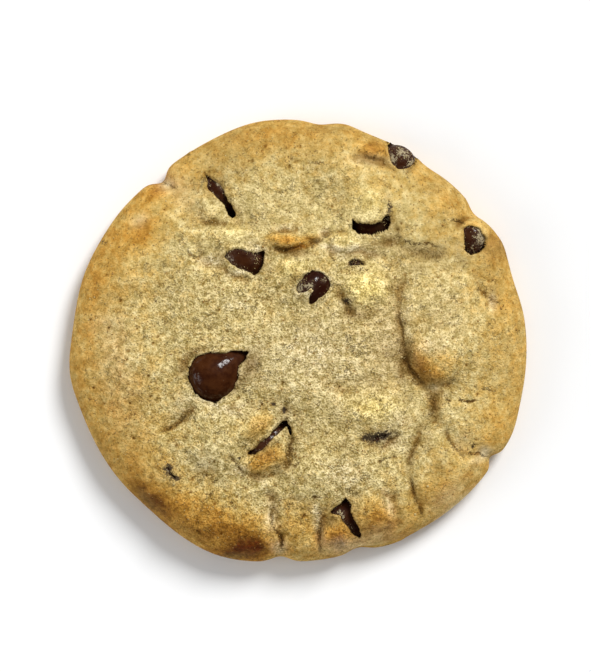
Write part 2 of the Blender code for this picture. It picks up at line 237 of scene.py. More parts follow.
@dataclass(frozen=True)
class DoughForm:
    """Broad form of the dough, as its solid has it: outline, section, lumps and creases."""

    mean_radius: float = 41.5
    swells: Bumps = ((1, 0.6, -69.0), (2, 0.7, 6.0), (3, 0.45, -75.0), (4, 0.2, -44.0), (5, 0.25, 142.0))
    lobes: Bumps = (
        (26.0, 4.5, 0.55), (60.5, 3.5, 0.3), (77.5, 4.0, 0.45), (101.0, 9.0, 0.45), (143.0, 8.0, 0.25),
        (188.5, 7.0, 0.5), (250.0, 10.0, 0.65), (296.0, 9.0, 0.7), (336.5, 6.0, 0.5),
    )
    notches: Bumps = (
        (15.0, 6.0, 0.4), (36.0, 3.2, 0.8), (53.0, 4.0, 0.3), (84.5, 3.5, 0.5), (130.2, 2.6, 1.5),
        (174.0, 9.0, 0.45), (228.0, 9.0, 0.45), (265.5, 3.2, 1.1), (286.5, 3.4, 0.85), (328.9, 1.9, 1.2),
    )
    widest_height: float = 3.4
    shoulder_rise: float = 5.4
    shoulder_power: float = 9.0
    dome_rise: float = 3.6
    foot_inset: float = 2.2
    lip: Bumps = ((294.0, 9.0, 1.0),)
    lip_reach: float = 0.9
    lip_groove: float = 0.5
    steep_lumps: tuple[Patch, ...] = patches(
        (27.2, 3.2, 8.2, 10.2, 0.0, 0.7), (25.4, -2.8, 5.0, 4.8, 15.0, 0.8),
        (12.6, 9.8, 4.1, 3.5, 0.0, 0.8), (0.2, 13.9, 3.4, 2.5, 10.0, 0.8),
        (-2.2, 18.6, 3.0, 1.3, -5.0, 1.1), (2.9, 19.6, 1.2, 0.8, 0.0, 0.7),
        (8.4, 18.2, 3.4, 1.5, -10.0, 0.8), (-6.4, -21.9, 3.9, 1.9, 25.0, 0.9),
        (-8.0, -15.6, 3.4, 1.7, 35.0, 0.6), (7.4, -36.4, 2.9, 3.0, 0.0, 0.8),
        (14.2, -32.2, 4.0, 3.8, 0.0, 0.6), (13.9, 35.6, 3.0, 1.4, -18.0, 0.6),
    )
    lumps: tuple[Patch, ...] = patches(
        (27.4, 3.4, 7.0, 9.4, 0.0, 0.7), (25.3, -3.3, 4.2, 3.7, 15.0, 0.3),
        (13.0, 25.5, 3.9, 3.4, 10.0, 1.1), (12.4, 9.9, 4.1, 3.6, 0.0, 0.8),
        (0.3, 14.0, 3.4, 2.6, 10.0, 0.6), (-11.4, 19.6, 5.2, 2.6, -10.0, 1.0),
        (-17.2, 25.2, 2.8, 3.2, 20.0, 1.1), (-8.4, 28.4, 6.0, 4.6, -20.0, 0.8),
        (14.4, -12.5, 4.8, 3.4, 10.0, 1.2), (-7.8, -15.6, 4.6, 2.1, 35.0, 0.5),
        (-6.0, -22.2, 4.4, 2.4, 22.0, 0.7), (13.9, -32.4, 4.5, 4.2, 0.0, 0.7),
        (7.2, -36.6, 3.0, 3.2, 0.0, 0.7), (27.3, -25.4, 6.8, 5.4, 45.0, 1.2),
        (29.4, -13.4, 5.2, 3.0, -20.0, 0.8), (36.0, -16.0, 3.0, 4.4, 0.0, 0.4),
        (16.4, -24.6, 5.2, 4.0, 0.0, 0.9), (4.0, -26.0, 5.4, 4.4, 0.0, 0.8),
        (-13.5, -35.0, 8.4, 4.2, -14.0, 0.8), (36.4, 17.7, 2.8, 4.0, 0.0, 0.6),
        (27.6, 25.0, 5.2, 3.4, -42.0, 0.8), (14.1, 35.7, 3.6, 1.6, -18.0, 0.9),
        (4.0, 32.0, 8.0, 4.0, 0.0, 0.6), (-30.0, 14.0, 8.0, 9.0, 0.0, 0.6),
        (-28.0, -7.0, 7.0, 8.0, 0.0, 0.7), (-16.0, -18.0, 6.0, 5.0, 0.0, 0.7),
        (-23.0, -29.0, 6.0, 4.4, -40.0, 0.6), (5.0, -4.0, 7.0, 7.0, 0.0, 0.6),
    )
    creases: tuple[Crease, ...] = (
        Crease(0.8, 1.3, ((20.6, 12.9), (19.0, 9.2), (18.5, 4.0), (19.2, 0.1), (20.0, -3.6), (22.0, -6.8),
                          (23.8, -8.4))),
        Crease(0.5, 0.9, ((22.4, -7.6), (25.2, -8.3), (28.2, -8.1), (30.2, -7.2))),
        Crease(0.7, 1.5, ((22.4, -7.4), (24.6, -10.2), (25.6, -13.6), (25.2, -15.4))),
        Crease(0.9, 1.3, ((24.4, -14.2), (21.6, -18.6), (20.6, -23.5), (21.4, -28.0), (23.9, -33.5))),
        Crease(0.7, 1.2, ((25.4, -15.0), (28.6, -18.5), (31.4, -20.7), (36.0, -21.6))),
        Crease(0.7, 1.0, ((-25.7, -17.0), (-21.5, -14.7), (-18.6, -11.8))),
        Crease(1.2, 1.5, ((15.2, 19.0), (18.4, 17.8), (21.4, 16.4), (24.6, 15.6), (28.2, 15.8))),
        Crease(0.7, 1.2, ((5.0, 20.8), (6.0, 17.0), (7.0, 13.6))),
        Crease(0.7, 1.3, ((8.4, 15.4), (13.7, 16.0), (17.4, 14.8), (20.0, 12.0))),
        Crease(0.9, 1.2, ((-18.9, 26.6), (-17.4, 21.9), (-12.6, 21.6), (-10.4, 22.6))),
        Crease(0.9, 1.4, ((-19.1, 19.8), (-17.3, 14.8), (-13.7, 13.2), (-9.6, 11.5), (-6.4, 11.8))),
        Crease(0.5, 0.8, ((-4.6, 17.2), (-2.0, 17.0), (0.4, 17.2), (3.4, 17.8))),
        Crease(0.6, 1.9, ((-26.0, 30.4), (-22.6, 28.4), (-17.8, 28.4))),
        Crease(0.9, 1.3, ((-3.3, -39.2), (-3.0, -35.7), (-4.4, -31.5), (-5.6, -26.9))),
        Crease(0.9, 1.3, ((11.0, -17.6), (15.4, -18.9), (19.6, -17.4))),
        Crease(0.9, 1.1, ((-3.2, -15.2), (-1.1, -18.5), (-1.4, -21.3), (-2.8, -24.0))),
        Crease(0.6, 1.1, ((-10.4, -23.6), (-6.7, -25.2), (-2.6, -24.4))),
        Crease(0.9, 1.1, ((3.7, -41.0), (3.9, -35.5), (5.0, -31.6), (9.0, -28.6))),
        Crease(0.8, 1.2, ((17.2, -27.6), (18.3, -32.6), (19.4, -37.0))),
        Crease(0.7, 1.2, ((32.5, 23.7), (30.4, 22.3), (29.0, 20.6))),
        Crease(0.7, 1.3, ((31.9, 14.4), (33.8, 9.4), (37.4, 6.0))),
        Crease(0.9, 1.2, ((9.5, 34.4), (13.0, 33.4), (16.8, 33.0))),
        Crease(0.9, 1.2, ((6.8, 10.8), (7.8, 8.0), (9.4, 6.0), (11.0, 5.2))),
        Crease(0.7, 1.6, ((4.0, -8.0), (9.0, -8.6), (15.0, -7.6), (20.0, -6.8))),
    )
    lump_power: float = 1.4
    steep_power: float = 2.8
    wave_seed: int = 11
    wave_count: int = 36
    wave_lengths: tuple[float, float] = (6.0, 22.0)
    wave_height: float = 0.045

    @staticmethod
    def round_bumps(angle: np.ndarray, bumps: Bumps) -> np.ndarray:
        """Sum of bells round the rim, each a middle, a spread and a height.

        Args:
            angle: directions from the middle.
            bumps: the bells.

        Returns:
            Their sum at each angle.
        """
        total = np.zeros_like(angle)
        for middle, spread, height in bumps:
            gap = (angle - middle + 180.0) % 360.0 - 180.0
            total += height * np.exp(-((gap / spread) ** 2))
        return total

    def rim_radius(self, angle: np.ndarray) -> np.ndarray:
        """Middle to rim: the mean radius with slow swells and lobes added and notches taken.

        Args:
            angle: directions from the middle.

        Returns:
            Radius at each angle.
        """
        swell = np.full_like(angle, self.mean_radius)
        for turns, height, phase in self.swells:
            swell += height * np.cos(np.radians(turns * angle - phase))
        return swell + self.round_bumps(angle, self.lobes) - self.round_bumps(angle, self.notches)

    def middle(self) -> tuple[float, float]:
        """Middle of the outline's box, which the dough is shifted by.

        Returns:
            Its place across and up.
        """
        angle = np.linspace(0.0, 360.0, 1441)
        x = self.rim_radius(angle) * np.cos(np.radians(angle))
        y = self.rim_radius(angle) * np.sin(np.radians(angle))
        return float(x.min() + x.max()) / 2.0, float(y.min() + y.max()) / 2.0

    def lip_share(self, angle: np.ndarray) -> np.ndarray:
        """How far the lower lip stands out at each angle, from 0 to 1."""
        return self.round_bumps(angle, self.lip)

    def dome(self, share: np.ndarray) -> np.ndarray:
        """Smooth top: a rounded shoulder at the rim and a low dome inside it.

        Args:
            share: share of the way out to the rim.

        Returns:
            Height: widest height, plus the shoulder's root curve, plus the dome's parabola.
        """
        share = np.clip(share, 0.0, 1.0)
        shoulder = self.shoulder_rise * np.sqrt(1.0 - share**self.shoulder_power)
        return self.widest_height + shoulder + self.dome_rise * (1.0 - share**2)

    def waves(self, x: np.ndarray, y: np.ndarray) -> np.ndarray:
        """Sum of long sine waves of drawn lengths, directions and phases.

        Args:
            x: places across.
            y: places up.

        Returns:
            Gentle heights about zero.
        """
        draw = np.random.default_rng(self.wave_seed)
        lengths = draw.uniform(*self.wave_lengths, self.wave_count)
        turns = draw.uniform(0.0, 2.0 * math.pi, self.wave_count)
        phases = draw.uniform(0.0, 2.0 * math.pi, self.wave_count)
        total = np.zeros_like(x)
        for length, turn, phase in zip(lengths, turns, phases):
            way = (x * math.cos(turn) + y * math.sin(turn)) * 2.0 * math.pi / length
            total += self.wave_height * math.sqrt(length / self.wave_lengths[0]) * np.sin(way + phase)
        return total

    def share_out(self, x: np.ndarray, y: np.ndarray) -> np.ndarray:
        """Share of the way out to the upper rim at each place."""
        angle = np.degrees(np.arctan2(y, x))
        return np.hypot(x, y) / (self.rim_radius(angle) - self.lip_reach * self.lip_share(angle))

    def top(self, x: np.ndarray, y: np.ndarray) -> np.ndarray:
        """Broad top: the dome with lumps and waves added and creases taken, faded at the rim.

        Args:
            x: places across.
            y: places up.

        Returns:
            Height at each place.
        """
        share = self.share_out(x, y)
        relief = self.waves(x, y)
        for lump in self.lumps:
            relief += lump.spread(x, y, self.lump_power)
        for lump in self.steep_lumps:
            relief += lump.spread(x, y, self.steep_power)
        for crease in self.creases:
            relief -= crease.groove(x, y)
        return self.dome(share) + relief * eased(1.0 - share, 0.0, 0.1)


class ChipLook(Enum):
    """How clean a chip shows."""

    GLOSSY = 0.12
    SMEARED = 0.5


@dataclass(frozen=True)
class Chip:
    """One teardrop chip: its place over the dough, its size and the opening it shows through."""

    node: str
    x: float
    y: float
    rise: float
    heading: float
    tilt: float
    width: float
    length: float
    opening: Points
    look: ChipLook
    smears: tuple[Patch, ...] = ()
    back_share: float = 0.42
    tip_power: float = 1.0
    # Share of the darkest chocolate: darker chocolate, and painted shade for chips seen down narrow slits.
    dark: float = 0.0
    outline_rows: int = 160

    def section(self, rows: int) -> tuple[np.ndarray, np.ndarray]:
        """Teardrop section: sine of the turn, drawn in by the cosine of half the turn.

        Args:
            rows: spans from the back to the tip.

        Returns:
            Radius, and distance from the back.
        """
        turn = np.linspace(0.0, math.pi, rows + 1)
        bulge = np.sin(turn) * np.maximum(np.cos(turn / 2.0), 0.0) ** self.tip_power
        return self.width / 2.0 * bulge / bulge.max(), (1.0 - np.cos(turn)) / 2.0 * self.length

    def axis_height(self, form: DoughForm) -> float:
        """Height of the chip's middle above the underside."""
        return float(form.top(np.array([self.x]), np.array([self.y]))[0]) + self.rise

    def upper(self, form: DoughForm, x: np.ndarray, y: np.ndarray) -> tuple[np.ndarray, np.ndarray]:
        """Upper side of the lying teardrop.

        Its height is the axis height plus the root of the squared radius less the squared offset.

        Args:
            form: the dough that it lies in.
            x: places across.
            y: places up.

        Returns:
            Height of the chip, and how far inside its outline each place is, negative outside.
        """
        turn = math.radians(self.heading)
        along = (x - self.x) * math.cos(turn) + (y - self.y) * math.sin(turn)
        across = (y - self.y) * math.cos(turn) - (x - self.x) * math.sin(turn)
        radius, place = self.section(self.outline_rows)
        from_back = along / math.cos(math.radians(self.tilt)) + self.back_share * self.length
        reach = np.interp(from_back, place, radius, left=-1.0, right=-1.0)
        rise = np.sqrt(np.maximum(reach * np.abs(reach) - across * across, 0.0))
        height = self.axis_height(form) + along * math.tan(math.radians(self.tilt)) + rise
        return height, reach - np.abs(across)

    def edge(self, x: np.ndarray, y: np.ndarray) -> np.ndarray:
        """Distance to the opening's edge, negative inside it.

        Args:
            x: places across.
            y: places up.

        Returns:
            Signed distances: the least distance to a side, its sign from the crossings.
        """
        nearest = np.full_like(x, 1.0e6)
        inside = np.zeros(x.shape, bool)
        for (ax, ay), (bx, by) in zip(self.opening, self.opening[1:] + self.opening[:1]):
            nearest = np.minimum(nearest, span_gap(x, y, (ax, ay), (bx, by))[1])
            if by != ay:
                inside ^= ((ay > y) != (by > y)) & (x < (bx - ax) * (y - ay) / (by - ay) + ax)
        return np.where(inside, -nearest, nearest)

    def turned(self, form: DoughForm, local: np.ndarray) -> np.ndarray:
        """Chip's own points, its axis along Z, laid where the chip lies.

        Args:
            form: the dough that it lies in.
            local: points about the chip's middle.

        Returns:
            The points in the cookie's frame.
        """
        ahead = pointing(self.heading, self.tilt)
        turn = np.array(Vector((0.0, 0.0, 1.0)).rotation_difference(ahead).to_matrix())
        return local @ turn.T + np.array([self.x, self.y, self.axis_height(form)])


CHIPS = (
    Chip("chip_left", -15.0, -6.0, -2.7, 35.0, 5.0, 10.4, 13.4,
         ((-20.3, -5.0), (-19.3, -3.1), (-17.2, -2.1), (-13.6, -2.0), (-10.6, -1.6), (-8.8, -1.7),
          (-9.6, -3.7), (-10.8, -4.5), (-10.9, -7.0), (-11.7, -8.8), (-13.0, -10.0), (-15.0, -11.5),
          (-16.8, -11.2), (-19.0, -9.6), (-20.3, -7.4)),
         ChipLook.GLOSSY, dark=0.12),
    Chip("chip_upper_left", -14.6, 27.0, -4.0, -56.0, -8.0, 7.6, 10.6,
         ((-17.1, 30.9), (-15.6, 29.8), (-13.8, 28.4), (-12.7, 26.0), (-11.2, 23.6), (-12.0, 22.5),
          (-12.9, 23.3), (-13.6, 25.0), (-15.3, 26.7), (-16.5, 28.0), (-16.8, 29.4)),
         ChipLook.SMEARED, (Patch(-14.4, 28.3, 2.0, 0.5, -55.0, 0.35),), dark=0.45),
    Chip("chip_middle_left", -9.7, 15.3, -3.5, -10.0, 4.0, 8.6, 10.4,
         ((-14.0, 15.7), (-12.8, 16.8), (-11.1, 17.1), (-9.1, 16.5), (-7.4, 16.6), (-5.8, 17.0),
          (-6.3, 14.0), (-7.0, 12.7), (-8.0, 12.1), (-10.1, 13.2), (-12.5, 14.4)),
         ChipLook.SMEARED,
         (Patch(-12.8, 15.6, 1.3, 0.8, 0.0, 0.5), Patch(-7.9, 15.4, 1.1, 1.2, 0.0, 0.5)), dark=0.35),
    Chip("chip_middle", 3.0, 9.6, -2.6, -50.0, 0.0, 7.6, 9.2,
         ((-0.5, 9.6), (0.4, 11.0), (1.5, 12.5), (2.9, 13.2), (4.5, 12.6), (5.8, 11.4), (6.1, 10.1),
          (5.4, 8.8), (3.9, 7.9), (2.8, 6.7), (2.0, 6.8), (2.2, 7.9), (3.3, 9.5), (2.6, 10.2), (1.4, 9.3),
          (0.2, 8.8)),
         # The smear at 4.7, 11.2 is a pale round spot on the tip: partly bloom, partly a painted highlight.
         ChipLook.GLOSSY, (Patch(0.7, 10.0, 1.7, 1.0, 30.0, 0.8), Patch(2.4, 10.2, 1.1, 0.5, 60.0, 0.5),
                           Patch(4.7, 11.2, 0.6, 0.6, 0.0, 0.8)), dark=0.9),
    Chip("chip_upper_right", 13.8, 22.1, -5.0, 16.0, 10.0, 8.0, 9.8,
         ((9.9, 22.6), (10.0, 20.8), (11.2, 19.7), (13.7, 19.5), (15.0, 20.0), (16.6, 20.5), (17.4, 21.8),
          (17.1, 23.4), (16.1, 23.2), (15.4, 22.2), (13.7, 21.7), (11.3, 22.0)),
         ChipLook.GLOSSY, (Patch(16.5, 22.0, 0.9, 1.6, 0.0, 1.0),), dark=0.6),
    Chip("chip_rim", 18.5, 33.1, -1.7, 236.0, -8.0, 6.0, 7.2,
         ((16.5, 36.4), (20.0, 38.6), (23.2, 35.6), (21.5, 33.0), (20.0, 31.8), (18.4, 32.0),
          (17.3, 33.4)),
         ChipLook.SMEARED,
         (Patch(19.4, 34.8, 1.9, 1.0, -40.0, 0.95), Patch(17.7, 33.6, 1.4, 0.9, 20.0, 0.6),
          Patch(20.6, 32.8, 1.2, 0.5, 50.0, 0.5)), dark=0.4),
    Chip("chip_right", 32.1, 18.9, -2.7, -83.0, 0.0, 6.6, 8.2,
         ((30.6, 20.9), (31.8, 21.3), (33.4, 20.8), (34.6, 19.2), (34.6, 17.2), (33.4, 16.1), (32.0, 15.8),
          (30.8, 16.8), (30.6, 19.0)),
         ChipLook.SMEARED,
         (Patch(33.5, 18.8, 1.2, 1.8, 0.0, 0.9), Patch(32.2, 17.2, 0.6, 0.8, 0.0, 0.4)), dark=0.35),
    Chip("chip_folded", -5.2, -18.8, -4.5, 42.0, 0.0, 9.2, 12.2,
         ((-9.8, -20.8), (-8.4, -20.0), (-6.4, -18.2), (-4.4, -16.4), (-2.9, -14.8), (-2.0, -14.6),
          (-1.3, -15.8), (-1.0, -17.6), (-1.5, -17.2), (-2.1, -15.9), (-3.0, -16.6), (-4.3, -17.9),
          (-6.1, -19.8), (-7.9, -21.0)),
         ChipLook.SMEARED, (Patch(-1.3, -17.0, 0.6, 1.6, 0.0, 0.2),), dark=0.3),
    Chip("chip_lower", 9.0, -32.6, -3.5, -54.0, 0.0, 6.8, 8.6,
         ((5.7, -31.8), (7.0, -30.3), (9.0, -29.0), (10.1, -30.1), (9.9, -31.5), (10.7, -33.0),
          (12.0, -35.6), (11.8, -36.7), (10.6, -36.1), (9.2, -34.5), (8.2, -33.1), (7.8, -32.3),
          (6.7, -32.0)),
         ChipLook.SMEARED,
         (Patch(8.0, -31.9, 1.1, 0.6, -40.0, 0.6), Patch(10.0, -34.4, 0.7, 0.3, -60.0, 0.5)), dark=0.5),
    Chip("chip_lower_right", 15.3, -17.9, -3.1, 6.0, 0.0, 5.8, 7.0,
         ((13.4, -18.4), (14.5, -17.6), (15.8, -17.3), (17.4, -16.7), (16.8, -17.5), (15.4, -17.9),
          (14.4, -18.4)),
         ChipLook.SMEARED, (Patch(15.4, -17.6, 1.0, 0.4, 10.0, 0.35),), dark=0.7),
    Chip("chip_lower_left", -23.6, -24.1, -3.0, 40.0, 0.0, 5.6, 6.8,
         ((-24.6, -22.9), (-23.8, -23.0), (-23.3, -24.2), (-22.1, -25.3), (-22.7, -25.6), (-23.9, -24.6),
          (-24.4, -23.9)),
         ChipLook.SMEARED, (Patch(-24.2, -24.2, 0.8, 0.5, -30.0, 0.3),), dark=0.7),
    Chip("chip_small", 11.1, 14.6, -2.9, 8.0, 0.0, 5.4, 6.6,
         ((9.3, 14.0), (10.1, 14.7), (11.2, 14.9), (12.5, 14.2), (11.4, 14.1), (10.3, 13.9)),
         ChipLook.SMEARED, (Patch(11.6, 13.6, 0.9, 0.5, 0.0, 0.5),), dark=0.7),
)


def new_object(name: str, points: np.ndarray, faces: list[list[int]]) -> bpy.types.Object:
    """Smooth mesh object at the origin from points in millimetres.

    Args:
        name: object's name.
        points: corner places, one row each.
        faces: corner numbers of each face, turning left as seen from outside.

    Returns:
        The linked object.
    """
    mesh = bpy.data.meshes.new(name)
    mesh.from_pydata((points * MM).tolist(), [], faces)
    mesh.polygons.foreach_set("use_smooth", np.ones(len(mesh.polygons), bool))
    mesh.update()
    piece = bpy.data.objects.new(name, mesh)
    bpy.context.scene.collection.objects.link(piece)
    return piece


def set_attribute(piece: bpy.types.Object, name: str, values: np.ndarray) -> None:
    """Stores one number for each point of a piece."""
    store = piece.data.attributes.new(name, "FLOAT", "POINT")
    store.data.foreach_set("value", np.ascontiguousarray(values, np.float32))


def ring_faces(above: np.ndarray, below: np.ndarray) -> np.ndarray:
    """Band of four-sided faces between two closed rings of equal count.

    Args:
        above: corner numbers of the upper or inner ring, anticlockwise from above.
        below: corner numbers of the next ring, in step with the first.

    Returns:
        Corner numbers, one face in each row.
    """
    return np.stack([np.roll(above, -1), above, below, np.roll(below, -1)], axis=1)


@dataclass
class Wiring:
    """Adds and joins the nodes of one shader tree."""

    tree: bpy.types.NodeTree

    def node(self, kind: str, **settings: object) -> bpy.types.Node:
        """New node in the tree.

        Args:
            kind: the node's type.
            settings: its own settings, by name.

        Returns:
            The node.
        """
        made = self.tree.nodes.new(kind)
        for name, value in settings.items():
            setattr(made, name, value)
        return made

    def join(self, source: Socket, target: Socket) -> None:
        """Links an output to an input."""
        self.tree.links.new(source, target)

    def feed(self, target: Socket, value: object) -> None:
        """Links a socket to an input, or sets the input to a number or a colour.

        Args:
            target: the input.
            value: socket, number or colour.
        """
        if isinstance(value, Socket):
            self.join(value, target)
        elif isinstance(value, tuple):
            target.default_value = (*value, 1.0)
        else:
            target.default_value = value

    def own_place(self) -> Socket:
        """Coordinates on the piece itself."""
        return self.node("ShaderNodeTexCoord").outputs["Object"]

    def noise(self, place: Socket, scale: object, detail: float, rough: float) -> Socket:
        """Cloudy noise of 0 to 1.

        Args:
            place: coordinates that it reads.
            scale: lattice points to the metre, a number or a socket.
            detail: finer layers added.
            rough: strength of the finer layers.

        Returns:
            The noise's value.
        """
        made = self.node("ShaderNodeTexNoise", noise_dimensions="3D")
        self.join(place, made.inputs["Vector"])
        self.feed(made.inputs["Scale"], scale)
        made.inputs["Detail"].default_value = detail
        made.inputs["Roughness"].default_value = rough
        return made.outputs["Fac"]

    def ranged(self, value: Socket, low: float, high: float,
               start: float = 0.0, end: float = 1.0) -> Socket:
        """Value carried from low..high to start..end with eased ends.

        Args:
            value: socket to carry over.
            low: value that gives start.
            high: value that gives end.
            start: result at low.
            end: result at high.

        Returns:
            The carried value.
        """
        made = self.node("ShaderNodeMapRange", interpolation_type="SMOOTHSTEP")
        self.join(value, made.inputs["Value"])
        for name, number in (("From Min", low), ("From Max", high), ("To Min", start), ("To Max", end)):
            made.inputs[name].default_value = number
        return made.outputs["Result"]

    def maths(self, operation: str, first: object, second: object) -> Socket:
        """Result of one sum on two numbers or sockets.

        Args:
            operation: kind of sum.
            first: number or socket.
            second: number or socket.

        Returns:
            The sum's result.
        """
        made = self.node("ShaderNodeMath", operation=operation)
        self.feed(made.inputs[0], first)
        self.feed(made.inputs[1], second)
        return made.outputs[0]

    def mix(self, share: object, first: object, second: object, blend: str = "MIX") -> Socket:
        """Colour between two others.

        Args:
            share: how much of the second, a number or a socket.
            first: colour or socket.
            second: colour or socket.
            blend: way in which the second is laid on the first.

        Returns:
            The mixed colour.
        """
        made = self.node("ShaderNodeMix", data_type="RGBA", blend_type=blend, clamp_factor=True)
        self.feed(made.inputs[0], share)
        self.feed(made.inputs[6], first)
        self.feed(made.inputs[7], second)
        return made.outputs[2]

    def attribute(self, name: str) -> Socket:
        """Number stored on the piece under a name."""
        return self.node("ShaderNodeAttribute", attribute_name=name).outputs["Fac"]

    def ramp(self, value: Socket, stops: tuple[tuple[float, Colour], ...]) -> Socket:
        """Colour read from a run of stops.

        Args:
            value: place along the run, 0 to 1.
            stops: place and colour of each stop.

        Returns:
            The colour at that place.
        """
        made = self.node("ShaderNodeValToRGB")
        run = made.color_ramp.elements
        while len(run) < len(stops):
            run.new(0.5)
        for element, (place, colour) in zip(run, stops):
            element.position = place
            element.color = (*colour, 1.0)
        self.join(value, made.inputs[0])
        return made.outputs["Color"]

    def bump(self, height: Socket, depth_mm: float) -> Socket:
        """Surface direction bent by a relief.

        Args:
            height: relief, 0 to 1.
            depth_mm: height in millimetres that 1 stands for.

        Returns:
            The bent direction.
        """
        made = self.node("ShaderNodeBump")
        made.inputs["Strength"].default_value = 1.0
        made.inputs["Distance"].default_value = depth_mm * MM
        self.join(height, made.inputs["Height"])
        return made.outputs["Normal"]


@dataclass(frozen=True)
class GrainGroup:
    """Shared sandy grain: how pale each grain is, its dark gaps and its height."""

    name: str = "sandy_grain"
    clump_fineness: float = 0.36
    streak_fineness: float = 0.8
    sand_weight: float = 0.55
    clump_weight: float = 0.45
    tone_range: tuple[float, float] = (0.36, 0.64)
    gap_range: tuple[float, float] = (0.33, 0.22)

    def tree(self) -> bpy.types.NodeTree:
        """Builds the group once and finds it again each later time.

        Returns:
            The group's tree.
        """
        found = bpy.data.node_groups.get(self.name)
        if found:
            return found
        group = bpy.data.node_groups.new(self.name, "ShaderNodeTree")
        group.interface.new_socket("Fineness", in_out="INPUT", socket_type="NodeSocketFloat")
        for output in ("Tone", "Gap", "Height"):
            group.interface.new_socket(output, in_out="OUTPUT", socket_type="NodeSocketFloat")
        wire = Wiring(group)
        entry = wire.node("NodeGroupInput")
        leave = wire.node("NodeGroupOutput")
        place = wire.own_place()
        fine = entry.outputs["Fineness"]
        sand = wire.noise(place, fine, 1.5, 0.6)
        clumps = wire.noise(place, wire.maths("MULTIPLY", fine, self.clump_fineness), 2.0, 0.6)
        streaks = wire.noise(place, wire.maths("MULTIPLY", fine, self.streak_fineness), 0.0, 0.5)
        both = wire.maths("ADD", wire.maths("MULTIPLY", sand, self.sand_weight),
                          wire.maths("MULTIPLY", clumps, self.clump_weight))
        wire.join(wire.ranged(both, *self.tone_range), leave.inputs["Tone"])
        wire.join(wire.ranged(streaks, *self.gap_range), leave.inputs["Gap"])
        wire.join(both, leave.inputs["Height"])
        return group

    def place(self, wire: Wiring, fineness: float) -> bpy.types.Node:
        """Puts the group into a material.

        Args:
            wire: the material's wiring.
            fineness: grains to the metre.

        Returns:
            The group's node.
        """
        made = wire.node("ShaderNodeGroup", node_tree=self.tree())
        made.inputs["Fineness"].default_value = fineness
        return made


def fresh_material(name: str) -> tuple[bpy.types.Material, Wiring, bpy.types.Node]:
    """Empty material with its shader joined to the output.

    Args:
        name: material's name.

    Returns:
        The material, its wiring and its shader node.
    """
    material = bpy.data.materials.new(name)
    material.use_nodes = True
    wire = Wiring(material.node_tree)
    wire.tree.nodes.clear()
    shader = wire.node("ShaderNodeBsdfPrincipled")
    output = wire.node("ShaderNodeOutputMaterial")
    wire.join(shader.outputs["BSDF"], output.inputs["Surface"])
    return material, wire, shader


